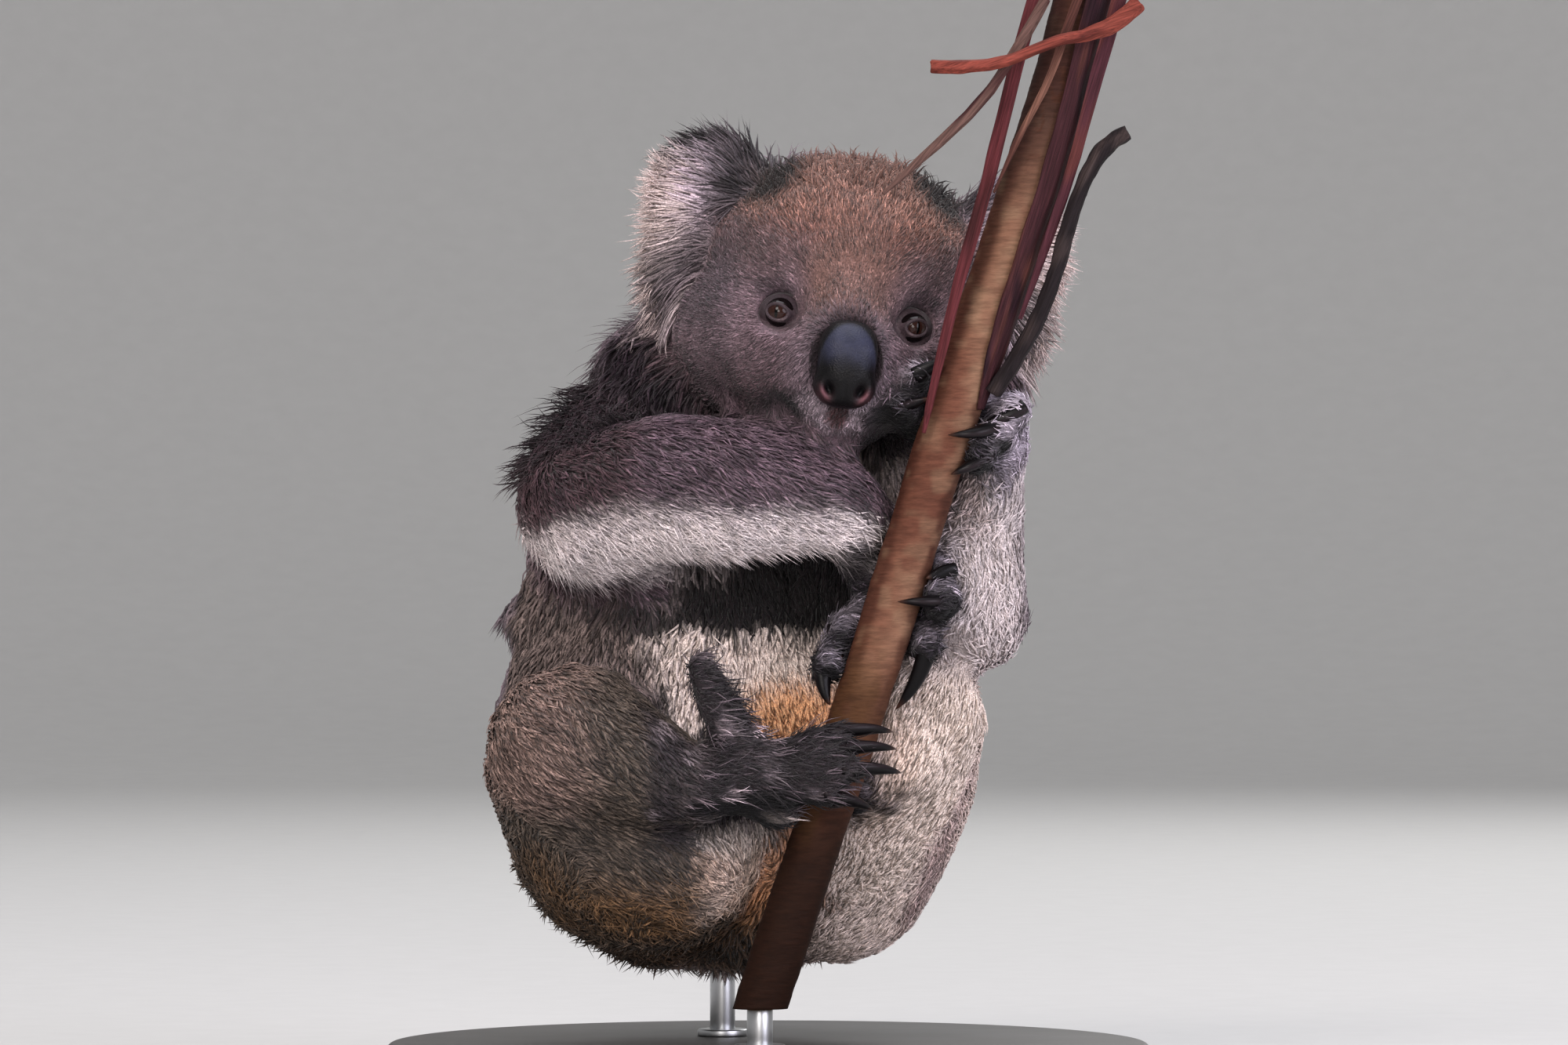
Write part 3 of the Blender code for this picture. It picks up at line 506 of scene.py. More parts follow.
def markings(points, facing, shares):
    """The coat's colour at each point, from its place, the way it faces and its part.
    Tints are laid over each other, each by a part's share times ramps and ovals."""
    tone = plain(TINTS["back"], len(points))

    def of(*names):
        return share(*names, rows=shares)

    def lay(tint, weight):
        tone[:] = blend_in(tone, TINTS[tint], weight)

    def in_oval(middle, sizes):
        return oval(head, middle, sizes)

    head = in_head(points)
    left, back, high = head.T
    x, _, z = points.T
    # a slow warp makes the edges of the markings waver
    warp = value_noise(points, 0.018, 3) * 0.004
    across, height = x + warp, z + warp
    across_2, height_2 = x + warp * 2, z + warp * 2
    patch = value_noise(points, 0.010, 5)
    ahead = ramp(0.02, -0.5, facing[:, 1])

    # head
    skull = of("head")
    lay("crown", skull)
    lay("crown_pale", skull * ramp(0.02, 0.05, high + warp) * 0.75)
    lay("back", skull * ramp(-0.005, 0.030, back + warp) * 0.75)
    lay("brow", skull * ramp(0.01, -0.035, back) * ramp(0.026, 0.004, high + warp - 0.35 * np.abs(left)))
    lay("bridge", skull * in_oval((0, -0.07, 0.012), (0.024, 0.05, 0.026)) * 0.8)
    lay("cheek", skull * ramp(0.012, 0.03, np.abs(left) + warp) * ramp(0.022, 0.0, high))
    lay("cheek_deep", skull * ramp(-0.016, -0.046, high + warp))
    lay("muzzle", in_oval((0, -0.085, -0.030), (0.030, 0.03, 0.030)) * 0.9)
    lay("cheek_deep", in_oval((0.026, -0.06, -0.017), (0.012, 0.06, 0.016)) * 0.45)
    # painted shade under the chin, on the lowest part of the head
    lay("under_chin_shade", skull * ramp(-0.050, -0.060, high))
    lay("lip", skull * in_oval((0, -0.08, -0.049), (0.022, 0.04, 0.011)))
    # painted shade in the folds on either side of the chin
    lay("fold_shade_and_nose_rim", skull * np.maximum(in_oval((-0.027, -0.07, -0.050), (0.009, 0.04, 0.008)),
                                     in_oval((0.029, -0.07, -0.046), (0.009, 0.04, 0.010))) * 0.85)
    lay("philtrum", skull * in_oval((0, -0.085, -0.052), (0.006, 0.03, 0.008)))
    # the dark rim of fur round the nose pad
    lay("fold_shade_and_nose_rim", in_oval(NOSE_SPOT + (0, 0, 0.0026), (0.0176, 0.03, 0.0236)))
    lay("ear_shade", skull * oval(np.abs(head) * (1, 0, 1), (0.060, 0.0, 0.036), (0.011, 1.0, 0.034)) * 0.4)
    for spot in EYE_SPOTS:
        lay("lids", in_oval(spot, (0.0090, 0.03, 0.0070)) * 0.8)
        # painted shadow of the brow, above each eye
        over = spot * (1.10, 1.0, 0.0) + (0.0, 0.0, 0.0030)
        lay("brow_shadow", in_oval(over, (0.0105, 0.03, 0.0058)) * 0.75)
    for ear, side in (("ear_r", -1), ("ear_l", 1)):
        lay("ear_pale", of(ear))
        lay("ear_cream", of(ear) * ramp(0.064, 0.084, left * side + warp * 2))
        lay("ear_shade", of(ear, "head") * ahead * in_oval((side * 0.070, -0.01, 0.004),
                                                           (0.022, 0.08, 0.024)) * 0.7)
        # painted shade where each ear joins the head
        lay("ear_dark_and_shade", skull * in_oval((side * 0.040, 0.0, 0.056), (0.018, 0.05, 0.022)) * 0.95)
        # dark hair on the inner part of each ear's front and along its top rim
        inner = ahead * in_oval((side * 0.040, -0.01, 0.050), (0.023, 0.08, 0.034))
        lay("ear_dark_and_shade", of(ear) * np.maximum(inner, ramp(0.056, 0.068, high + warp)))

    # neck, front and arms
    trunk = of("chest", "belly")
    lay("neck", of("neck") * (0.12 + 0.88 * ahead))
    lay("flank", trunk * ahead)
    lay("cream", trunk * ahead * ramp(-0.066, -0.036, across_2))
    # painted shade in the hollow under the right arm, over the chest's darker fur
    lay("underarm_shade", trunk * (ahead * ramp(0.214, 0.224, height) * ramp(-0.085, -0.060, x)))
    lay("orange", of("belly", "thigh_l", "rump") * ahead
        * oval(points, (0.014, -0.05, 0.168), (0.038, 0.08, 0.030)) * 0.95)
    right_arm, left_arm = of("upper_arm_r", "forearm_r"), of("upper_arm_l", "forearm_l")
    lay("arm", of("upper_arm_r", "upper_arm_l", "forearm_r"))
    lay("arm_out", right_arm * ramp(-0.056, -0.078, across))
    lay("shoulder", of("upper_arm_r", "upper_arm_l") * ramp(0.280, 0.310, height))
    lay("arm_dark", right_arm * ramp(-0.1, 0.9, patch) * 0.7)
    under = ramp(0.20, -0.60, facing[:, 2] + warp * 35) * ramp(0.286, 0.262, height)
    lay("fringe", right_arm * under * ramp(0.234, 0.246, height))
    # painted shade along the underside of the right forearm
    rise = z - 0.242 - 0.30 * np.maximum(x + 0.005, 0.0)
    lay("underarm_shade", of("forearm_r") * ramp(0.004, -0.004, rise + warp) * ramp(-0.015, 0.005, x) * 0.9)
    lay("bright", left_arm * ramp(0.124, 0.112, across))
    # painted shade of the left hand on the arm, near the trunk
    lay("hand_shade_on_arm", left_arm * ramp(0.244, 0.268, z) * ramp(0.108, 0.094, across) * 0.8)

    # legs and rump
    left_leg, right_leg = of("thigh_l", "shin_l"), of("thigh_r", "shin_r")
    lay("white", left_leg)
    lay("rump", of("thigh_l") * ramp(0.118, 0.092, height) * 0.7)
    lay("tan", left_leg * oval(points, (0.050, -0.05, 0.156), (0.024, 0.07, 0.034)) * 0.2)
    lay("edge", of("thigh_l", "rump") * ramp(0.0, 0.012, across - 0.066 - 0.4 * (z - 0.10))
        * ramp(0.175, 0.155, z) * (0.3 + 0.5 * ahead))
    lay("thigh", right_leg)
    lay("thigh_high", right_leg * ramp(0.122, 0.145, height) * ramp(-0.075, -0.105, across))
    lay("rump", of("rump") * ramp(0.12, 0.08, height_2) * 0.7)
    right_low = of("thigh_r", "shin_r", "rump", "belly") * ahead
    lay("thigh_low", right_low * ramp(0.115, 0.085, height_2))
    lay("tan", right_low * oval(points, (0.000, -0.05, 0.108), (0.036, 0.12, 0.030)) * 0.75)
    wet = right_leg * ramp(-0.066, -0.050, across_2) * ramp(0.112, 0.122, height_2)
    lay("paw", wet * ahead)
    lay("paw_pale", wet * ahead * ramp(0.2, 0.8, patch) * 0.6)
    lay("shade_low", right_low * oval(points, (-0.008, -0.05, 0.062), (0.036, 0.12, 0.018)) * 0.85)

    # hands and feet, with dark palms, and painted shade in the folds beneath the chin
    feet = of("foot_r", "foot_l")
    lay("hand_dark", of("hand_r", "hand_l"))
    knuckles = np.maximum(ramp(0.1, 0.7, facing[:, 2] + 0.4 * patch), ramp(0.100, 0.114, across))
    lay("hand", (of("hand_l") + 0.35 * of("hand_r")) * knuckles)
    lay("paw", feet)
    lay("paw_pale", feet * ramp(0.0, 0.7, patch) * 0.7)
    lay("cream", of("foot_r", "shin_r") * ahead * ramp(0.132, 0.122, height)
        * ramp(-0.045, -0.020, x) * ramp(0.030, 0.010, x) * 0.6)
    lay("palm", of("hand_r", "hand_l", "foot_r", "foot_l") * ramp(-0.3, -0.7, facing[:, 2]))
    # painted shade in the folds beside the chin, on both sides
    chin_side = np.maximum(oval(points, (0.004, -0.055, 0.316), (0.015, 0.06, 0.009)),
                           oval(points, (0.057, -0.055, 0.311), (0.014, 0.06, 0.020)))
    lay("fold_shade_and_nose_rim", of("head", "neck", "chest") * chin_side * 0.9)
    return tone


print("tints:", len(TINTS))

# %% [markdown]
# Hair has colour in every strand, dull sides and a faint soft sheen. Its material reads
# the coat colour and breaks it with a fine grain, about one strand wide. The skin's own
# material adds a short nap in its bump, which is all that shows where fur lies flat.

# %% The material of fur
STRAND = 0.0009  # coarser than a real hair, so that it shows
# painted shade: the skin is darkened as the coat's shade between its locks
SKIN_PAINTED_SHADE = 0.72  # the skin is darker than the locks that cover it


def fur_material(name, roughness, bump_depth):
    """Hair: its colour from the coat attribute, broken by fine streaks, and dull."""
    material, tree = new_material(name)
    place = add(tree, "TexCoord").outputs["Object"]
    speck = add(tree, "TexNoise", Scale=1.0 / STRAND, Detail=2.0, Vector=place)
    mixed = grained(tree, "coat", speck, (0.3, 0.7), (0.58, 1.44))
    bump = add(tree, "Bump", Strength=0.6, Distance=bump_depth, Height=speck)
    finish(tree, Roughness=roughness, Specular_IOR_Level=0.3, Sheen_Weight=0.12, Sheen_Roughness=0.4,
           Base_Color=mixed, Normal=bump)
    return material


fur = fur_material("woolly_fur", 0.68, 0.0003)
nap = fur_material("short_nap_on_skin", 0.8, 0.0012)
skin = surface("skin", skin_points, [quads], nap, "fur")
paint(skin, "coat", markings(skin_points, normals, share_of) * SKIN_PAINTED_SHADE)
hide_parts(*REGIONS)
print("skin replaces", len(REGIONS), "solids")

# %% [markdown]
# The eyes sit deep in their lids. Each eyeball is a sphere with a slight bulge in front,
# the cornea. The brown iris and its upright slit are drawn by the material, from each
# point's place about the line of sight.

# %% Eyeballs
EYE_RADIUS, EYE_BACK = 0.0071, 0.0006
SLIT_WIDE, SLIT_HIGH = 0.11, 0.42
CORNEA_BULGE, CORNEA_REACH = 0.045, 0.5

# a wet cornea over a brown iris: very smooth, so that a lamp shows as one small hard spot
cornea, tree = new_material("brown_eye_with_wet_cornea")
gaze = add(tree, "Attribute", attribute_name="gaze").outputs["Vector"]
to_slit = (1 / SLIT_WIDE, 1 / SLIT_HIGH, 0.0)
slit = add(tree, "VectorMath", operation="MULTIPLY", input_0=gaze, input_1=to_slit)
slit = add(tree, "VectorMath", operation="LENGTH", input_0=slit).outputs["Value"]
flat = add(tree, "VectorMath", operation="MULTIPLY", input_0=gaze, input_1=(1.0, 1.0, 0.0))
ring = add(tree, "VectorMath", operation="LENGTH", input_0=flat).outputs["Value"]
fleck = add(tree, "TexNoise", Scale=9.0, Detail=3.0, Vector=flat)
iris = add(tree, "Mix", data_type="RGBA", input_0=fleck, input_6=opaque("170D0F"), input_7=opaque("3A2019"))
rim = add(tree, "MapRange", From_Min=0.56, From_Max=0.74, Value=ring)
dark = add(tree, "Mix", data_type="RGBA", input_0=rim, input_6=iris.outputs[2], input_7=opaque("0D0809"))
hole = add(tree, "MapRange", From_Min=1.12, From_Max=0.9, Value=slit)
seen = add(tree, "Mix", data_type="RGBA", input_0=hole, input_6=dark.outputs[2], input_7=opaque("060505"))
finish(tree, Roughness=0.04, IOR=1.38, Specular_IOR_Level=0.4, Base_Color=seen.outputs[2])


def sight(side):
    """Columns across, up and ahead of an eye's line of sight, in the head's frame."""
    ahead = unit(np.array((0.30 * side, -0.95, 0.02)))
    across = unit(np.cross((0.0, 0.0, 1.0), ahead))
    return np.stack([across, np.cross(ahead, across), ahead], axis=1)


def eyeball(name, middle, view):
    """A sphere from its front pole to its back one, of radius r (1 + bulge e^-(tilt/reach)^2)."""
    across, up, ahead = view.T
    tilt = np.linspace(0.02, math.pi - 0.02, 44)[:, None, None]
    turn = turns(72)[None, :, None]
    way = ahead * np.cos(tilt) + (across * np.cos(turn) + up * np.sin(turn)) * np.sin(tilt)
    radius = EYE_RADIUS * (1.0 + CORNEA_BULGE * np.exp(-(tilt / CORNEA_REACH) ** 2))
    points, faces = capped(middle + way * radius)
    ball = surface("scene_" + name, from_head(points), outward(points, faces), cornea, "eye")
    paint(ball, "gaze", (points - middle) @ view / EYE_RADIUS)
    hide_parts(name)


print("an eye: radius", round(1000 * EYE_RADIUS, 1), "mm")

# %% [markdown]
# The lids are bare dark skin round each eye. They are a closed ring of rows: the inner
# rows touch the eyeball, the outer ones take the height of the skin and dip under it.

# %% Lids
LID_WIDE, LID_UP, LID_LOW = 0.0046, 0.0030, 0.0032
LID_SLANT = 0.10  # the outer corner is this much higher for its distance
LID_GRIP = 0.0005  # rows further out than this stop following the eyeball down
LID_SIDES = 96
LID_ROWS = np.array((
    # distance out from the lid's edge, height over the eyeball, share of the skin's height
    (0.0072, -0.0030, 1.0), (0.0060, -0.0010, 1.0), (0.0046, -0.0003, 0.88), (0.0034, 0.0002, 0.66),
    (0.0024, 0.0008, 0.40), (0.0016, 0.0011, 0.18), (0.0010, 0.0011, 0.0), (0.0004, 0.0008, 0.0),
    (0.0, 0.0003, 0.0), (-0.0003, -0.0002, 0.0), (0.0006, -0.0022, 0.0), (0.0054, -0.0062, 0.0)))
LID_LIP = (6, 7)  # the rows of the pale wet lip
SKIN_REACH = 0.0022  # the skin's height is averaged over about this distance

lid_skin = fur_material("bare_lid_skin", 0.55, 0.0004)
head_skin = in_head(skin_points[share("head") > 0.5])
head_skin = head_skin[head_skin[:, 1] < -0.01]


def lids(name, side, middle, view):
    """Rings about the line of sight. The one at distance 0 is an oval opening, wide cos t by
    tall sin t |sin t|^0.15, and the others lie out from it by their row's distance."""
    across, up, ahead = view.T
    turn = turns(LID_SIDES)
    tall = np.where(np.sin(turn) > 0, LID_UP, LID_LOW)
    edge = np.stack([LID_WIDE * np.cos(turn), tall * np.sin(turn) * np.abs(np.sin(turn)) ** 0.15], axis=1)
    edge[:, 1] += side * LID_SLANT * edge[:, 0]
    away = unit(edge * np.array((1.0, 1.6)))
    sample = (head_skin - middle) @ view
    rings = []
    for out, high, level in LID_ROWS:
        place = edge + away * out
        reach = np.minimum(np.linalg.norm(place, axis=1), np.linalg.norm(edge, axis=1) + LID_GRIP)
        over = np.sqrt(EYE_RADIUS ** 2 - reach ** 2) + high
        gap2 = ((place[:, None] - sample[None, :, :2]) ** 2).sum(2)
        near = np.exp(-gap2 / SKIN_REACH ** 2) + 1e-30
        skin_high = (near * sample[:, 2]).sum(1) / near.sum(1) + high
        height = over * (1.0 - level) + skin_high * level
        rings.append(middle + across * place[:, :1] + up * place[:, 1:] + ahead * height[:, None])
    points = np.concatenate(rings)
    faces = outward(points, [grid_faces(len(LID_ROWS), LID_SIDES, ring=True)])
    made = surface("lids_" + name[-1], from_head(points), faces, lid_skin, "fur")
    row = np.repeat(np.arange(len(LID_ROWS)), LID_SIDES)
    low_inner = ramp(0.2, 0.9, -np.sin(turn)) * ramp(-0.2, 0.6, -np.cos(turn) * side)
    shade = plain(TINTS["lids"], len(points))
    shade = blend_in(shade, "8A7476", 0.35 * np.isin(row, LID_LIP) * np.tile(low_inner, len(LID_ROWS)))
    furred = ramp(0.0010, 0.0034, LID_ROWS[row, 0]) * (row < LID_LIP[0])
    shade = shade + (linear(TINTS["cheek"]) * 0.36 - shade) * furred[:, None]
    paint(made, "coat", shade)


for name, side, spot in (("eye_r", -1, EYE_SPOTS[0]), ("eye_l", 1, EYE_SPOTS[1])):
    middle, view = spot + (0.0, EYE_BACK, 0.0), sight(side)
    eyeball(name, middle, view)
    lids(name, side, middle, view)
print("eyes and lids: opening", round(2000 * LID_WIDE, 1), "by", round(1000 * (LID_UP + LID_LOW), 1), "mm")

# %% [markdown]
# The nose is a big leathery pad: slate above, black below, with comma-shaped nostrils and
# a pinkish flank under each. It is a sphere drawn out to an upright oval, squared a
# little at its shoulders and pressed in at the nostrils.

# %% Nose
NOSE_WIDE, NOSE_DEEP, NOSE_HIGH = 0.0141, 0.0138, 0.0204
SQUARED = 2.7
NOSTRIL, NOSTRIL_LEAN = (0.0074, -0.0120), 0.25
DENT_DEEP, FLANK_PROUD, GROOVE_DEEP, TOP_BACK = 0.0050, 0.0012, 0.0006, 0.0030


def hill(x, z, middle, sizes, lean=0.0):
    """exp(-d^2) about a spot on each side of the nose, with d in its half sizes."""
    up = z - middle[1]
    across = np.abs(x) - middle[0] - lean * up
    return np.exp(-((across / sizes[0]) ** 2 + (up / sizes[1]) ** 2))


tilt = np.linspace(0.03, math.pi - 0.03, 72)[:, None]
turn = turns(112)[None]
# a rounded square in place of a circle, so that the pad has full shoulders
corner = (np.abs(np.cos(turn)) ** SQUARED + np.abs(np.sin(turn)) ** SQUARED) ** (-1 / SQUARED)
ring = np.sin(tilt) ** 0.80
across, high = ring * corner * np.cos(turn), ring * corner * np.sin(turn)
wide = (1.0 + 0.13 * np.clip(-high, 0, 1) + 0.05 * np.exp(-((high + 0.62) / 0.22) ** 2)
        - 0.06 * np.exp(-((high + 0.12) / 0.28) ** 2))
x = NOSE_WIDE * wide * across
z = NOSE_HIGH * high
y = -NOSE_DEEP * np.sign(np.cos(tilt)) * np.abs(np.cos(tilt)) ** 0.75 + 0.0 * x
front = ramp(0.0, -0.3, y / NOSE_DEEP)
y = y + front * TOP_BACK * ramp(0.35, 1.0, high)
groove = np.exp(-(x / 0.0009) ** 2) * ramp(-0.0060, -0.0140, z)
y = y + front * (DENT_DEEP * hill(x, z, NOSTRIL, (0.0024, 0.0034), NOSTRIL_LEAN)
                 - FLANK_PROUD * hill(x, z, (0.0112, -0.0150), (0.0024, 0.0040)) + GROOVE_DEEP * groove)
points, faces = capped(np.stack([x, y, z], axis=2))
print("nose:", len(points), "points")

# %% Nose leather
nose_leather, tree = new_material("damp_nose_leather")
place = add(tree, "TexCoord").outputs["Object"]
# damp leather has soft broken highlights; its small plates are about 0.7 mm across
plates = add(tree, "TexVoronoi", feature="SMOOTH_F1", Scale=1400.0, Vector=place)
dents = add(tree, "Bump", Strength=0.55, Distance=0.0004, Height=plates)
cloud = add(tree, "TexNoise", Scale=260.0, Detail=4.0, Vector=place)
mixed = grained(tree, "tint", cloud, (0.3, 0.7), (0.82, 1.18))
gloss = add(tree, "MapRange", To_Min=0.34, To_Max=0.52, Value=cloud)
finish(tree, Specular_IOR_Level=0.2, Base_Color=mixed, Normal=dents, Roughness=gloss)
nose = surface("scene_nose", from_head(points + NOSE_SPOT), outward(points, faces), nose_leather,
               "nose_leather")
x, y, z = points.T
out = np.sqrt((x / NOSE_WIDE) ** 2 + (z / NOSE_HIGH) ** 2)
low = ramp(0.0085, -0.0040, z + value_noise(points, 0.004, 21) * 0.0016)
shade = plain("2C2E3F", len(points))
for code, weight in (
        ("060507", np.maximum(low, ramp(0.86, 0.98, out) * ramp(-0.012, 0.004, z))),
        ("80545C", np.minimum(hill(x, z, (0.0108, -0.0160), (0.0032, 0.0034)) * 1.4, 0.95)),
        ("070608", hill(x, z, NOSTRIL, (0.0021, 0.0030), NOSTRIL_LEAN) * 1.6),
        ("060507", 0.85 * ramp(0.96, 1.06, out) * ramp(-0.008, -0.013, z))):
    shade = blend_in(shade, code, weight)
paint(nose, "tint", shade)
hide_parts("nose")
print("nose pad:", round(2000 * NOSE_WIDE, 1), "by", round(2000 * NOSE_HIGH, 1), "mm")

# %% [markdown]
# Claws are black horn, deep at the root, curved and pointed, with a painted highlight on the
# back. Each is a narrow oval carried along a curve fitted to its own solid, and shrinks to its tip.

# %% Claws
CLAW_DEEP, CLAW_WIDE = 0.0043, 0.0032
HIDDEN_CLAW = 0.85
CLAW_ROWS, CLAW_SIDES = 18, 16


def carried(middles, up_hint, wide, deep, sides):
    """Ovals of half sizes wide and deep carried along the middles: rings of points."""
    along = unit(np.gradient(middles, axis=0))
    side = unit(np.cross(along, up_hint))
    up = np.cross(side, along)
    turn = turns(sides)[None, :, None]
    face = side[:, None] * np.cos(turn) * wide[:, None, None]
    face = face + up[:, None] * np.sin(turn) * deep[:, None, None]
    return middles[:, None] + face


def curve_of(points, degree):
    """A curve of that degree fitted to points, against their place along their longest way.
    Returns a function of a share from 0 at the thick end to 1 at the thin one."""
    middle = points.mean(0)
    axis = np.linalg.svd(points - middle, full_matrices=False)[2][0]
    far = (points - middle) @ axis
    share_along = (far - far.min()) / np.ptp(far)

    def girth(chosen):
        return np.linalg.norm(points[chosen] - points[chosen].mean(0), axis=1).mean()

    if girth(share_along < 0.3) < girth(share_along > 0.7):
        share_along = 1.0 - share_along
    fits = [np.polyfit(share_along, points[:, k], degree) for k in range(3)]
    return lambda t: np.stack([np.polyval(fit, t) for fit in fits], axis=-1)


# worn black horn: a narrow shine, broken by scuffs about 1.5 mm long
horn, tree = new_material("black_claw_horn")
tint = add(tree, "Attribute", attribute_name="tint")
place = add(tree, "TexCoord").outputs["Object"]
fibre = add(tree, "TexNoise", Scale=700.0, Detail=3.0, Vector=place)
scuff = add(tree, "Bump", Strength=0.25, Distance=0.0002, Height=fibre)
gloss = add(tree, "MapRange", To_Min=0.22, To_Max=0.46, Value=fibre)
finish(tree, Specular_IOR_Level=0.16, Base_Color=tint, Roughness=gloss, Normal=scuff)
claw_names = sorted(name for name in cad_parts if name.startswith("claw_"))
steps = np.linspace(-0.10, 1.0, CLAW_ROWS)
taper = (1.0 - np.clip(steps, 0, 1) ** 1.8) ** 0.8 + 0.04
step = np.append(np.repeat(steps, CLAW_SIDES), (0.0, 1.0))
ridge = np.append(np.tile(np.sin(turns(CLAW_SIDES)), CLAW_ROWS), (0.0, 0.0))
shade = plain("0A080A", len(step))
# painted highlight along the back of each claw, fading towards the tip
shade = blend_in(shade, "2E2428", ramp(0.86, 1.0, ridge) * 0.6 * ramp(1.0, 0.5, step))
shade = blend_in(shade, "5A3A2E", ramp(0.80, 1.0, step) * 0.5)
for name in claw_names:
    middles = curve_of(solid_mesh(name)[0], 2)(steps)
    # a claw is deepest in the plane it bends in, and a straight one would be deepest sideways
    size = HIDDEN_CLAW if "foot_l" in name else 1.0
    sideways = unit(np.cross(middles[-1] - middles[0], (0.0, 0.0, 1.0)) + 1e-9)
    bowed = middles[CLAW_ROWS // 2] - (middles[0] + middles[-1]) / 2
    hint = unit(bowed + 1e-4 * sideways)
    points, faces = capped(carried(middles, hint, CLAW_WIDE * size * taper, CLAW_DEEP * size * taper,
                                   CLAW_SIDES))
    claw = surface("scene_" + name, points, outward(points, faces), horn, "claw_horn")
    paint(claw, "tint", shade)
    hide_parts(name)
print("claws:", len(claw_names))

# %% [markdown]
# The coat is made of thousands of small closed locks. Each has three sides, a few rings
# and a pointed tip, starts under the skin, rises a little and lies back along the body.
# Hair from particles could not leave this program, so every lock is plain mesh. Damp fur
# gathers, so each lock's tip also leans towards the middle of its own small clump.

# %% Locks
PATCH = 0.003
ROOT_UNDER = 0.0005
BRIGHTEST = 0.9
# painted light: each lock's tip point is this much lighter than its colour
TIP_PAINTED_LIGHT = 1.15


def unwrapped(roots, ups):
    """A box unwrap: six cells of the unit square, one for each way that the skin faces."""
    axis = np.abs(ups).argmax(1)
    cell = axis * 2 + (ups[np.arange(len(ups)), axis] > 0)
    low, high = roots.min(0), roots.max(0)
    flat = (roots - low) / np.maximum(high - low, 1e-6).max()
    place = np.take_along_axis(flat, np.array(((1, 2), (0, 2), (0, 1)))[axis], axis=1)
    corner = np.stack([cell % 3, cell // 3], axis=1) * np.array((1 / 3, 1 / 2))
    return corner + 0.01 + place * (1 / 3 - 0.02)


def clumps(roots, ups, size, seed, gather):
    """How far each lock leans along the skin to its clump, and a random number for the clump.
    A clump's middle is the nearest to the root of a jittered lattice's points."""
    cell = np.floor(roots / size).astype(np.int64)
    best = np.full(len(roots), 1e9)
    middle, luck = np.zeros_like(roots), np.zeros(len(roots))
    for step in itertools.product((-1, 0, 1), repeat=3):
        at = cell + np.array(step)
        parts = [number / 65535.0 for number in stirred(at, seed, 4)]
        spot = (at + np.stack(parts[:3], axis=1)) * size
        far = ((spot - roots) ** 2).sum(1)
        closer = far < best
        best = np.where(closer, far, best)
        middle[closer], luck[closer] = spot[closer], parts[3][closer]
    toward = middle - roots
    return (toward - ups * (toward * ups).sum(1, keepdims=True)) * gather, luck


def locks(name, roots, ups, lies, lengths, width, lift, colours, pull, rings=2, droop=0.75, bend=0.15):
    """Three-sided locks. At a share s of its length, a lock's middle is
    root + length (lie s + up lift (s - droop s^2) + side swing s^2) + pull s^2."""
    count = len(roots)
    widths = width * draws.uniform(0.7, 1.3, count)
    lifts = (lift * draws.uniform(0.6, 1.3, count))[:, None]
    swing = (bend * draws.normal(size=count))[:, None]
    roots = roots - ups * ROOT_UNDER
    colours = colours * np.minimum(1.0, BRIGHTEST / colours.max(1, keepdims=True))
    side = np.cross(lies, ups)
    points = np.empty((count, rings * 3 + 1, 3))
    shade = np.empty((count, rings * 3 + 1, 3))
    for k in range(rings + 1):
        s = k / rings
        middle = roots + lengths[:, None] * (lies * s + ups * (lifts * (s - droop * s * s))
                                             + side * (swing * s * s)) + pull * s * s
        if k == rings:
            points[:, -1], shade[:, -1] = middle, colours * TIP_PAINTED_LIGHT
            break
        half = (widths * (1.0 - s ** 1.8) * (0.7 + 0.3 * min(1.0, s * 3)))[:, None]
        points[:, 3 * k] = middle - side * half
        points[:, 3 * k + 1] = middle + side * half
        points[:, 3 * k + 2] = middle + ups * half * 0.8
        # painted shade: each lock darker towards its root, down in the coat
        shade[:, 3 * k:3 * k + 3] = (colours * (0.62 + 0.38 * min(1.0, s * 1.7)))[:, None]
    pairs = ((0, 1), (1, 2), (2, 0))
    faces = [(0, 1, 2)]
    for low in range(0, 3 * rings - 3, 3):
        for i, j in pairs:
            faces += [(low + j, low + i, low + 3 + i), (low + j, low + 3 + i, low + 3 + j)]
    faces += [(3 * rings - 3 + j, 3 * rings - 3 + i, 3 * rings) for i, j in pairs]
    every = (np.array(faces)[None] + np.arange(count)[:, None, None] * (rings * 3 + 1)).reshape(-1, 3)
    thing = surface(name, points.reshape(-1, 3), [every], fur, "fur")
    paint(thing, "coat", shade.reshape(-1, 3))
    spot = np.array([(across, k / rings) for k in range(rings) for across in (0, 1, 0.5)] + [(0.5, 1)])
    place = unwrapped(roots, ups)[:, None] + PATCH * (spot[None] - 0.5)
    layer = thing.data.uv_layers.new(name="OFBake")
    layer.data.foreach_set("uv", place.reshape(-1, 2)[every.ravel()].astype(np.float32).ravel())
    return len(every)


print("one lock of 2 rings has", 1 + 6 * (2 - 1) + 3, "triangles")

# %% [markdown]
# Hair lies away from the nose over the face, outwards from the ears, along each limb
# towards its paw, and down the body. Round the eyes it parts. A slow random turn and a
# small one for each lock keep it from looking combed.

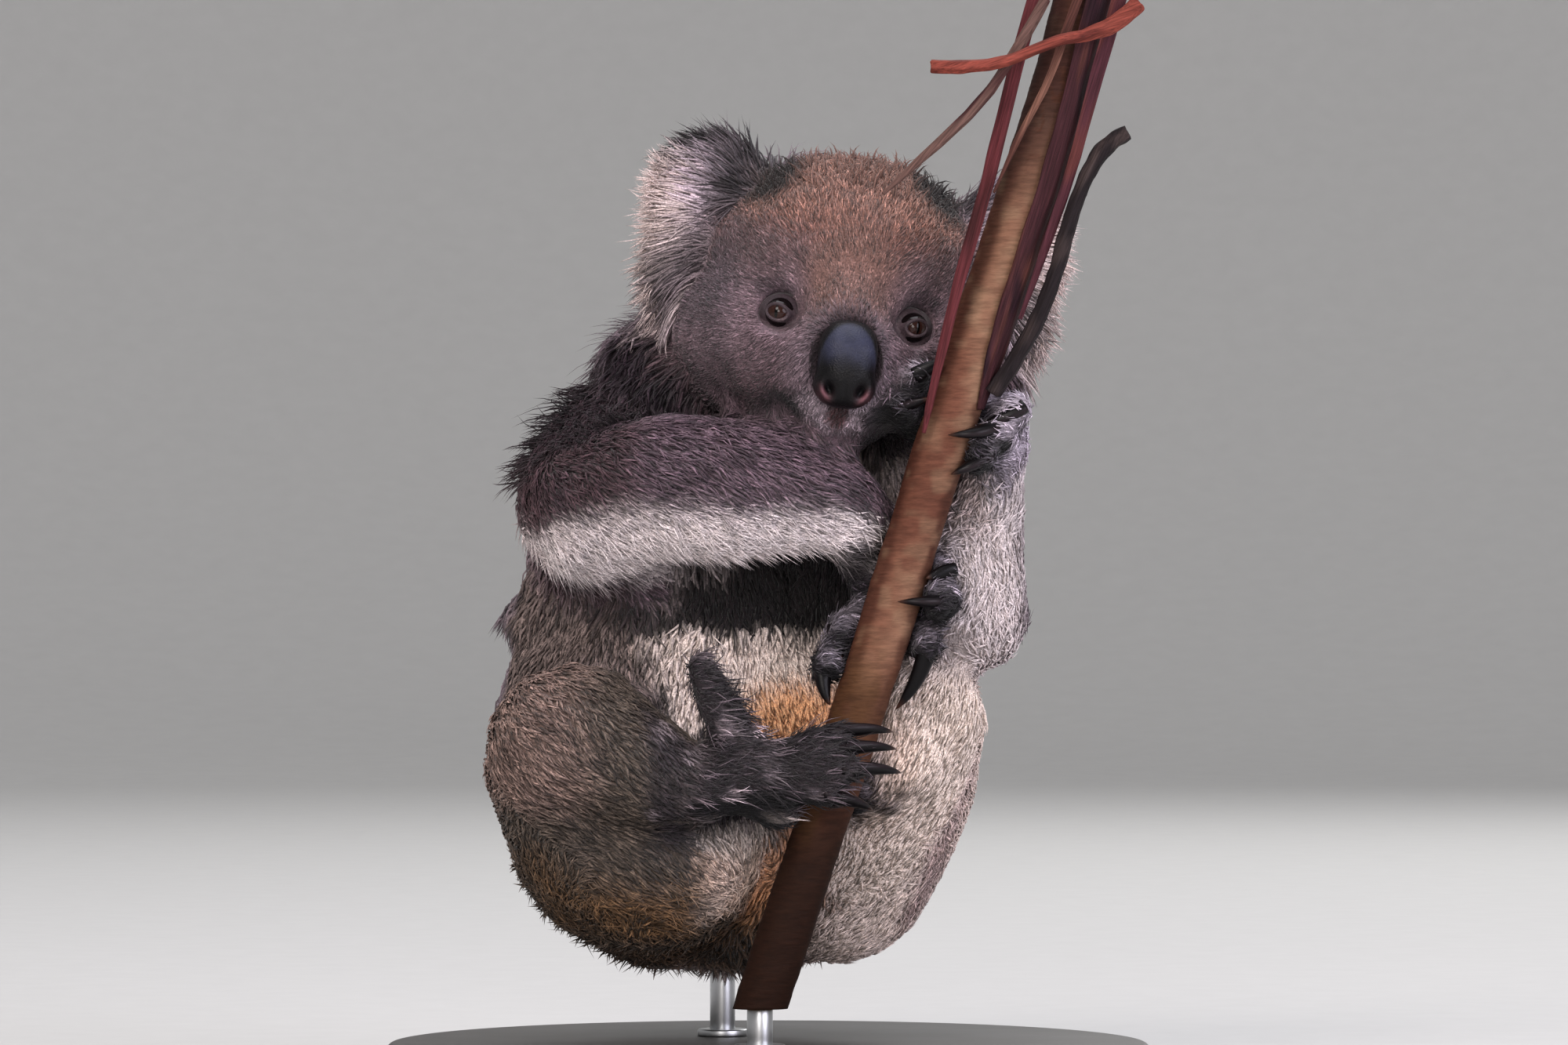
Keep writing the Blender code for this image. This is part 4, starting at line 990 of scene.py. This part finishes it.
# %% The lie of the coat
BONES = {
    # limb: its bone's end at the body, its end at the paw
    "upper_arm_r": ((-0.0520, 0.0360, 0.2960), (-0.0830, -0.0230, 0.2730)),
    "forearm_r": ((-0.0830, -0.0230, 0.2730), (0.0450, -0.0520, 0.2570)),
    "upper_arm_l": ((0.0680, 0.0450, 0.2860), (0.0970, -0.0120, 0.2200)),
    "forearm_l": ((0.0970, -0.0120, 0.2200), (0.1050, -0.0420, 0.2860)),
    "thigh_r": ((-0.0480, 0.0350, 0.1100), (-0.0920, -0.0470, 0.1620)),
    "shin_r": ((-0.0920, -0.0470, 0.1620), (-0.0330, -0.0910, 0.1440)),
    "thigh_l": ((0.0300, 0.0380, 0.1050), (0.0750, -0.0270, 0.1770)),
    "shin_l": ((0.0750, -0.0270, 0.1770), (0.0560, -0.0410, 0.1480)),
}
PAWS = {"hand_r": (0.9, -0.4, 0.1), "hand_l": (-0.8, -0.4, 0.1),
        "foot_r": (0.9, -0.3, 0.1), "foot_l": (-0.5, -0.3, 0.1)}
DOWN_THE_BODY = (0.0, 0.15, -1.0)


def lie_at(points, shares):
    """The direction in which hair points, blended between the parts of the body."""
    head = in_head(points)
    away = unit(head - (NOSE_SPOT + np.array((0.0, 0.012, 0.010))))
    away = away + np.array((0.0, 0.0, -0.5)) * ramp(0.03, 0.06, head[:, 1])[:, None]
    for spot in EYE_SPOTS:
        apart = (head - spot) * np.array((1.0, 0.3, 1.0))
        near = np.exp(-(np.linalg.norm(apart, axis=1) / 0.011) ** 2)
        away = away + unit(apart) * near[:, None] * 2.2
    total = np.zeros_like(points)
    for number, region in enumerate(REGIONS):
        if region == "head":
            flow = unit(away) @ HEAD_TURN.T
        elif region in ("ear_r", "ear_l"):
            side = -1.0 if region == "ear_r" else 1.0
            flow = unit(head - np.array((side * 0.040, 0.004, 0.034)))
            flow = unit(flow + np.array((side * 0.25, 0.0, -0.25))) @ HEAD_TURN.T
        elif region in BONES:
            start, end = np.array(BONES[region])
            flow = unit(end - start) + np.array((0.0, 0.0, -0.45))
        else:
            flow = np.array(PAWS.get(region, DOWN_THE_BODY))
        total += shares[:, number:number + 1] * flow
    return total


print("parts whose hair follows a bone:", len(BONES))

# %% The coat
# the slow random turn, the distance over which it changes, and each lock's own turn
WANDER, WANDER_SIZE, UNEVEN = 0.30, 0.022, 0.13


def rooted(parts, allowed, count):
    """Random roots on these parts where hair is allowed: place, facing, lie and shares."""
    weight = (share(*parts)[skin_triangles].mean(1) > 0.5) * allowed * free
    picked, shares = scattered(skin_points, skin_triangles, count, weight)
    place = spread(skin_points, skin_triangles, picked, shares)
    up = unit(spread(normals, skin_triangles, picked, shares))
    part = spread(share_of, skin_triangles, picked, shares)
    wander = np.stack([value_noise(place, WANDER_SIZE, 11 + k) for k in range(3)], axis=1) * WANDER
    lie = lie_at(place, part) + wander + draws.normal(size=place.shape) * UNEVEN
    lie = unit(lie - up * (lie * up).sum(1, keepdims=True))
    return place, up, lie, part


COAT = {
    # piece: parts, locks, length, half width, lift, clump size, pull to the clump's middle
    "coat_face": (("head",), 19000, 0.0046, 0.00049, 0.46, 0.0035, 0.25),
    "coat_crown": (("head",), 11000, 0.0085, 0.00064, 0.60, 0.0045, 0.45),
    "coat_neck_chest": (("neck", "chest"), 11500, 0.0170, 0.00116, 0.62, 0.0090, 0.60),
    "coat_belly_rump": (("belly", "rump"), 16000, 0.0110, 0.00100, 0.52, 0.0060, 0.30),
    "coat_arm_r": (("upper_arm_r", "forearm_r"), 17000, 0.0110, 0.00074, 0.58, 0.0050, 0.40),
    "coat_arm_l": (("upper_arm_l", "forearm_l"), 9800, 0.0100, 0.00080, 0.45, 0.0060, 0.25),
    "coat_leg_r": (("thigh_r", "shin_r"), 13500, 0.0095, 0.00086, 0.52, 0.0050, 0.35),
    "coat_leg_l": (("thigh_l", "shin_l"), 12000, 0.0100, 0.00084, 0.45, 0.0060, 0.20),
    "coat_paws": (("hand_r", "hand_l", "foot_r", "foot_l"), 10500, 0.0070, 0.00050, 0.45, 0.0040, 0.50),
    "coat_ear_r": (("ear_r",), 3400, 0.0205, 0.00070, 0.50, 0.0080, 0.60),
    "coat_ear_l": (("ear_l",), 2600, 0.0190, 0.00070, 0.50, 0.0080, 0.50),
}
FACE_BACK = -0.018
EAR_RINGS = 4
BARE_EYE, BARE_NOSE = (0.0052, 0.03, 0.0040), (0.0132, 0.03, 0.0195)
PALE_FROM, DARK_TO = 0.88, 0.20

middles_of = skin_points[skin_triangles].mean(1)
facing_of = unit(normals[skin_triangles].mean(1))
head_on = in_head(middles_of)
x, y, z = middles_of.T
free = open_air[skin_triangles].mean(1) > 0.45
furred = oval(head_on, NOSE_SPOT, BARE_NOSE) < 0.5
for spot in EYE_SPOTS:
    furred = furred & (oval(head_on, spot, BARE_EYE) < 0.5)
# the back has about half as many locks for its size as the front
fewer_behind = 0.55 + 0.45 * (y < 0.05)
COAT_GROWS = {"coat_face": head_on[:, 1] < FACE_BACK, "coat_crown": head_on[:, 1] >= FACE_BACK - 0.004,
              "coat_neck_chest": fewer_behind, "coat_belly_rump": fewer_behind}
total = 0
for name, (parts, count, length, width, lift, clump, gather) in COAT.items():
    place, up, lie, part = rooted(parts, furred * COAT_GROWS.get(name, 1.0), count)
    size = length * draws.uniform(0.75, 1.25, count)
    head = in_head(place)
    if name == "coat_face":
        size *= 1.0 + 0.6 * ramp(0.010, 0.055, head[:, 2])
        size *= 1.0 - 0.5 * np.maximum(*(oval(head, spot, (0.013, 0.03, 0.011)) for spot in EYE_SPOTS))
    if name == "coat_crown":
        size *= 0.75 + 0.25 * ramp(FACE_BACK, FACE_BACK + 0.030, head[:, 1])
    toward, luck = clumps(place, up, clump, 91, gather)
    light = draws.uniform(0.66, 1.34, count) * (0.78 + 0.44 * luck)
    fleck = draws.random(count)
    tint = markings(place, up, part)
    # pale fur varies less; one lock in eight is much paler and one in five is darker
    pale = ramp(0.25, 0.60, tint[:, 1])
    light = light + (1.0 - light) * pale * 0.55
    light = np.where(fleck > PALE_FROM, light * 1.60,
                     np.where(fleck < DARK_TO, light * (0.45 + 0.35 * pale), light))
    total += locks(name, place, up, lie, size, width, lift, tint * light[:, None], toward,
                   rings=EAR_RINGS if "ear" in name else 2)
print("short coat:", total, "triangles")

# %% [markdown]
# Some hair is longer than the rest and breaks the outline: a white fringe hangs under
# the right arm, damp points hang from the rump and stand on the crown, the ears and the
# shoulder, and wet hair lies over the paws. Gravity bends the hanging locks down.

# %% Long hair
LONG_HAIR = {
    # piece: parts, locks, length, half width, lift, clump size, gather, fall, brightness
    "coat_fringe": (("forearm_r", "upper_arm_r"), 2200, 0.0095, 0.00065, 0.6, 0.006, 0.50, 0.30, 1.0),
    "coat_hang": (("rump", "thigh_r", "shin_r"), 2200, 0.0095, 0.00070, 0.5, 0.006, 0.35, 0.25, 1.15),
    "coat_spikes": (("head", "ear_r", "ear_l", "neck", "upper_arm_r"), 2600, 0.0090, 0.00055, 1.05,
                    0.006, 0.95, 0.0, 0.65),
    "coat_wet": (("hand_l", "hand_r", "foot_r"), 2600, 0.0105, 0.00050, 0.6, 0.005, 0.70, 0.1, 1.3),
}
LONG_GROWS = {
    "coat_fringe": (facing_of[:, 2] < -0.20) & (z < 0.272),
    "coat_hang": (facing_of[:, 2] < -0.30) & (z < 0.110),
    "coat_spikes": np.where(share("neck", "upper_arm_r")[skin_triangles].mean(1) > 0.5,
                            (x < 0.0) & (z > 0.285), head_on[:, 2] > 0.050),
    "coat_wet": facing_of[:, 2] > -0.6,
}
for name, (parts, count, length, width, lift, clump, gather, fall, bright) in LONG_HAIR.items():
    place, up, lie, part = rooted(parts, LONG_GROWS[name], count)
    size = length * draws.uniform(0.6, 1.3, count)
    if name == "coat_wet":
        size *= np.where(share("foot_r", rows=part) > 0.5, 1.1, 0.55)
    if name == "coat_spikes":
        size *= 1.0 + 0.7 * share("ear_r", "ear_l", rows=part)
        size *= 0.90 + 0.80 * share("neck", "upper_arm_r", rows=part)
    toward, luck = clumps(place, up, clump, 77, gather)
    toward[:, 2] -= fall * size
    light = draws.uniform(0.75, 1.25, count) * (0.80 + 0.40 * luck) * bright
    if name == "coat_wet":
        # four clumps in ten shine and the others are dark with water
        light = np.where(luck > 0.62, light * 3.2, light * 0.6)
    tint = markings(place, up, part) * light[:, None]
    total += locks(name, place, up, lie, size, width, lift, tint, toward, rings=3, droop=0.35, bend=0.30)
print("coat:", total, "triangles")

# %% [markdown]
# The perch is a living gum trunk, smooth where the old bark has peeled: tan, with fine
# cross wrinkles, brown stains and greenish patches. Its middle line and radius are
# fitted to the CAD solid, and rings follow them, cut level at both ends.

# %% Perch
PERCH_ROWS, PERCH_SIDES = 430, 84
TRUNK_RADIUS = 0.0125
KNOT_HIGH, KNOT_WIDE = 0.0045, 0.0035
KNOTS = (  # height, angle round the trunk, how far it stands out
    (0.262, -0.5, 0.0010), (0.214, 0.7, 0.0012), (0.352, -0.2, 0.0008), (0.140, 0.2, 0.0012),
    (0.455, 0.3, 0.0009))

solid, _ = solid_mesh("perch")
low, high = solid[:, 2].min(), solid[:, 2].max()
height_fit = [np.polyfit(solid[:, 2], solid[:, k], 5) for k in (0, 1)]
slope_fit = [np.polyder(fit) for fit in height_fit]


def perch_line(heights):
    """The trunk's middle points and unit directions at these heights."""
    middle = np.stack([*(np.polyval(fit, heights) for fit in height_fit), heights], axis=-1)
    way = np.stack([*(np.polyval(fit, heights) for fit in slope_fit), np.ones_like(heights)], axis=-1)
    return middle, unit(way)


middle, way = perch_line(solid[:, 2])
off = solid - middle
rim = np.linalg.norm(off - way * (off * way).sum(1, keepdims=True), axis=1)
on_side = rim > TRUNK_RADIUS / 2
radius_fit = np.polyfit(solid[on_side, 2], rim[on_side], 3)
heights = np.linspace(low, high, PERCH_ROWS)
middles, ways = perch_line(heights)
radii = np.polyval(radius_fit, heights)
turn = turns(PERCH_SIDES)
across = np.cross(ways, (0.0, 1.0, 0.0))
face = unit(across)[:, None] * np.sin(turn)[None, :, None]
face = face + unit(np.cross(across, ways))[:, None] * np.cos(turn)[None, :, None]
face = face - ways[:, None] * (face[..., 2:] / ways[:, None, 2:])
smooth = (middles[:, None] + face * radii[:, None, None]).reshape(-1, 3)
relief = (0.0006 * value_noise(smooth, 0.030, 31) + 0.00025 * value_noise(smooth, 0.007, 32)
          + 0.00012 * value_noise(smooth * (1, 1, 4), 0.004, 33))
angle, level = np.tile(turn, PERCH_ROWS), np.repeat(heights, PERCH_SIDES)
for knot_at, knot_turn, knot_size in KNOTS:
    off_turn = (angle - knot_turn + math.pi) % (2 * math.pi) - math.pi
    far2 = ((level - knot_at) / KNOT_HIGH) ** 2 + (off_turn * TRUNK_RADIUS / KNOT_WIDE) ** 2
    relief += knot_size * (np.exp(-far2) - 0.7 * np.exp(-far2 * 5.0))
rings = smooth + face.reshape(-1, 3) * (relief - 0.0003)[:, None]
points, faces = capped(rings.reshape(PERCH_ROWS, PERCH_SIDES, 3))
print("perch:", len(points), "points, radius about", round(float(radii.mean() * 1000), 1), "mm")

# %% Living bark
# living bark is smooth and dry, with hardly any shine
gum_bark, tree = new_material("smooth_gum_bark")
wrap = add(tree, "Attribute", attribute_name="wrap").outputs["Vector"]
# wrinkles run across the trunk, about 2 mm apart and 8 mm long
ticks = add(tree, "Mapping", Scale=(120.0, 120.0, 620.0), Vector=wrap)
ticks = add(tree, "TexNoise", Scale=1.0, Detail=3.0, Roughness=0.6, Vector=ticks)
pores = add(tree, "TexNoise", Scale=900.0, Detail=2.0, Vector=wrap)
mixed = grained(tree, "tint", ticks, (0.34, 0.66), (0.74, 1.18))
wrinkle = add(tree, "Bump", Strength=0.7, Distance=0.0006, Height=ticks)
wrinkle = add(tree, "Bump", Strength=0.3, Distance=0.0002, Height=pores, Normal=wrinkle)
finish(tree, Roughness=0.75, Specular_IOR_Level=0.12, Base_Color=mixed, Normal=wrinkle)
perch = surface("scene_perch", points, outward(points, faces), gum_bark, "trunk_bark")
wrapped = np.stack([np.cos(angle) * TRUNK_RADIUS, np.sin(angle) * TRUNK_RADIUS, level], axis=1)
paint(perch, "wrap", np.vstack([wrapped, (0, 0, low), (0, 0, high)]))

# a tan ground with clouds, dark bark at the top and scribbles left by insects; painted
# light down one side, and painted shade down the other and on the lower trunk
level, lean = np.append(level, (low, high)), np.append(np.sin(angle), (0.0, 0.0))
cloud = value_noise(points * (1, 1, 0.35), 0.016, 35)
mottle = value_noise(points, 0.006, 36)
scribble = np.abs(value_noise(points * (3, 3, 1), 0.011, 38)) < 0.10
shade = plain("6C4536", len(points))
for code, weight in (
        # painted light: lighter towards one side of the trunk, broken by clouds
        ("84624E", ramp(-0.3, 0.6, cloud + 0.5 * ramp(0.3, -0.7, lean) - 0.2) * 0.8),
        ("553226", ramp(0.0, -0.8, cloud) * 0.6),
        # painted shade: a dark band down the other side of the trunk
        ("3E2018", ramp(0.35, 0.75, lean + 0.25 * cloud) * 0.75),
        ("6A4030", ramp(0.30, 0.10, level) * ramp(-0.2, 0.6, mottle + cloud) * 0.7),
        # pale patches, more of them on the lit side: partly painted light
        ("9C8268", ramp(-0.2, 0.7, mottle - 0.4 * lean) * ramp(0.19, 0.22, level) * 0.25),
        ("5A4824", ramp(0.22, 0.17, level) * ramp(0.1, 0.7, cloud + 0.4 * mottle + 0.3 * lean) * 0.7),
        # painted shade at the foot of the trunk
        ("2A140B", ramp(0.16, 0.09, level) * ramp(0.9, -0.3, lean + cloud) * 0.85),
        # painted shade along the trunk's edge on the lit side
        ("341A13", ramp(-0.55, -0.9, lean + 0.2 * mottle) * 0.6),
        # painted shade on the lower trunk, darkest at its foot
        ("4A2C1E", ramp(0.208, 0.188, level + 0.01 * cloud) * 0.7),
        ("1E0F08", ramp(0.165, 0.100, level + 0.02 * cloud) * 0.9),
        ("2A1817", ramp(0.40, 0.46, level + 0.01 * cloud) * 0.75),
        ("4A2C20", scribble * ramp(0.42, 0.45, level) * ramp(0.6, 0.2, np.abs(lean)) * 0.8)):
    shade = blend_in(shade, code, weight)
shade[-2:] = linear("C9A77C")  # the middles of the two sawn ends
paint(perch, "tint", shade)
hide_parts("perch")
print("bark: from", round(float(low), 3), "to", round(float(high), 3), "m up")

# %% [markdown]
# Old bark still hangs on one side of the trunk and curls away in ribbons. These thin
# solids are already the right shape, so each copy is cut into smaller triangles, eased
# round, and given fibres that run along its length.

# %% Loose bark and the cut side branch
LOOSE = {
    # piece: colour, second colour, how far it is roughened
    "bark_sheet": ("3A1E22", "4E2C28", 0.0006), "bark_strip_left": ("55262A", "3A1A1C", 0.0004),
    "bark_strip_edge": ("45232A", "5E3230", 0.0004), "bark_strip_shred": ("4A2C26", "6E4C40", 0.0003),
    "bark_peel": ("5E4640", "3E1E20", 0.0003), "bark_curl": ("7A3A30", "54241E", 0.0004),
    "perch_branch": ("1E181A", "3A302F", 0.0004),
}


def finer(points, triangles):
    """Every triangle cut into four at the middles of its edges."""
    kept, number = np.unique(sides_of(triangles), axis=0, return_inverse=True)
    middles = (points[kept[:, 0]] + points[kept[:, 1]]) / 2
    a, b, c = triangles.T
    ab, bc, ca = (number.reshape(-1, 3) + len(points)).T
    cut = [np.stack(row, axis=1) for row in ((a, ab, ca), (ab, b, bc), (ca, bc, c), (ab, bc, ca))]
    return np.vstack([points, middles]), np.concatenate(cut)


def eased(points, triangles, rounds, amount):
    """Points moved to the mean of their neighbours, and back a little, to keep their size."""
    edges = np.unique(sides_of(triangles), axis=0)
    for step in range(rounds * 2):
        move = amount if step % 2 == 0 else -amount * 1.03
        points = points + move * (neighbour_mean(points, edges) - points)
    return points


# dead bark is dull and splits into strings along its length
dry_bark, tree = new_material("dry_stringy_bark")
grain = add(tree, "Attribute", attribute_name="wrap").outputs["Vector"]
# fibres are about 0.6 mm wide and run 25 mm or more
fibre = add(tree, "Mapping", Scale=(40.0, 1500.0, 1500.0), Vector=grain)
fibre = add(tree, "TexNoise", Scale=1.0, Detail=3.0, Vector=fibre)
mixed = grained(tree, "tint", fibre, (0.3, 0.7), (0.55, 1.5))
ridges = add(tree, "Bump", Strength=0.8, Distance=0.0006, Height=fibre)
finish(tree, Roughness=0.75, Specular_IOR_Level=0.15, Base_Color=mixed, Normal=ridges)
for name, (first, second, rough_by) in LOOSE.items():
    points, triangles = solid_mesh(name)
    for _ in range(3):
        points, triangles = finer(points, triangles)
    points = eased(points, triangles, 6, 0.5)
    middle = points.mean(0)
    axes = np.linalg.svd(points - middle, full_matrices=False)[2]
    local = (points - middle) @ axes.T
    if name == "perch_branch":
        relief = value_noise(points, 0.006, 41) + 0.5 * value_noise(points, 0.003, 42)
    else:
        relief = value_noise(local * (0.12, 1, 1), 0.0022, 41)
    points = points + point_normals(points, triangles) * (relief * rough_by)[:, None]
    piece = surface("scene_" + name, points, outward(points, [triangles]), dry_bark, "dry_bark")
    paint(piece, "wrap", local)
    shade = plain(first, len(points))
    shade = blend_in(shade, second, ramp(-0.2, 0.7, value_noise(local * (0.2, 1, 1), 0.004, 43)))
    if name == "bark_sheet":
        dark = ramp(0.0, 0.6, value_noise(points * (1, 1, 0.15), 0.005, 44))
        shade = blend_in(shade, "22121A", dark * 0.8)
    paint(piece, "tint", shade)
    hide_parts(name)
print("loose bark:", len(LOOSE), "pieces")

# %% [markdown]
# The stand is a plain display base: a round board with a soft painted finish, a steel rod
# up into the trunk's cut end and another into the animal's seat, each through a turned
# collar. All are turned shapes: one profile carried round an upright axis.

# %% Stand
BOARD_EDGE, ROD_EDGE, COLLAR_EDGE = 0.0028, 0.0004, 0.0010
COLLAR_HIGH = 0.0035


def lathe(name, profile, sides, material, slot, middle=(0.0, 0.0)):
    """A turned piece from (radius, height) rows, closed by a middle point at each end."""
    points, faces = capped(turned(profile, sides))
    points = points + np.array((*middle, 0.0))
    return surface(name, points, outward(points, faces), material, slot)


def rounded(radius, low, high, edge, steps=6):
    """A disc's side profile with its lower and upper edges rounded by quarter circles."""
    bend = np.linspace(0.0, math.pi / 2, steps)
    lower = np.stack([radius - edge + edge * np.sin(bend), low + edge - edge * np.cos(bend)], axis=1)
    upper = np.stack([radius - edge + edge * np.cos(bend), high - edge + edge * np.sin(bend)], axis=1)
    return np.vstack([(radius * 0.5, low), lower, upper, (radius * 0.5, high)])


# satin paint on board: a fine orange peel about 2 mm wide, and a gloss that varies softly
board_paint, tree = new_material("satin_board_paint")
place = add(tree, "TexCoord").outputs["Object"]
peel = add(tree, "TexNoise", Scale=420.0, Detail=3.0, Vector=place)
cloud = add(tree, "TexNoise", Scale=14.0, Detail=5.0, Vector=place)
tone = add(tree, "Mix", data_type="RGBA", input_0=cloud, input_6=opaque("3B3937"), input_7=opaque("464340"))
bumps = add(tree, "Bump", Strength=0.2, Distance=0.0003, Height=peel)
gloss = add(tree, "MapRange", To_Min=0.38, To_Max=0.58, Value=cloud)
finish(tree, Base_Color=tone.outputs[2], Roughness=gloss, Normal=bumps)

# brushed steel: fine lines round the rod, about 0.2 mm apart
steel, tree = new_material("brushed_steel_rod")
place = add(tree, "TexCoord").outputs["Object"]
lines = add(tree, "Mapping", Scale=(60.0, 60.0, 5200.0), Vector=place)
lines = add(tree, "TexNoise", Scale=1.0, Detail=2.0, Vector=lines)
gloss = add(tree, "MapRange", To_Min=0.24, To_Max=0.44, Value=lines)
brush = add(tree, "Bump", Strength=0.15, Distance=0.0001, Height=lines)
finish(tree, Base_Color=opaque("C4C6C8"), Metallic=1.0, Roughness=gloss, Normal=brush)
low, high = (np.array(corner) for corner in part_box("stand_base"))
radius, top_of_board = (high[0] - low[0]) / 2, high[2]
board = lathe("scene_stand_base", rounded(radius, low[2], top_of_board, BOARD_EDGE), 160, board_paint,
              "board_paint")
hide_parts("stand_base")
print("stand: board radius", round(float(high[0]), 3), "m")
for name in ("stand_rod_perch", "stand_rod_body"):
    low, high = (np.array(corner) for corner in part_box(name))
    middle, radius = (low[:2] + high[:2]) / 2, (high[0] - low[0]) / 2
    rod = lathe("scene_" + name, rounded(radius, low[2], high[2], ROD_EDGE, 3), 48, steel, "steel", middle)
    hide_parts(name)
    ring = rounded(radius * 2.0, top_of_board, top_of_board + COLLAR_HIGH, COLLAR_EDGE)
    lathe(name.replace("stand_rod", "collar"), ring, 64, steel, "steel", middle)
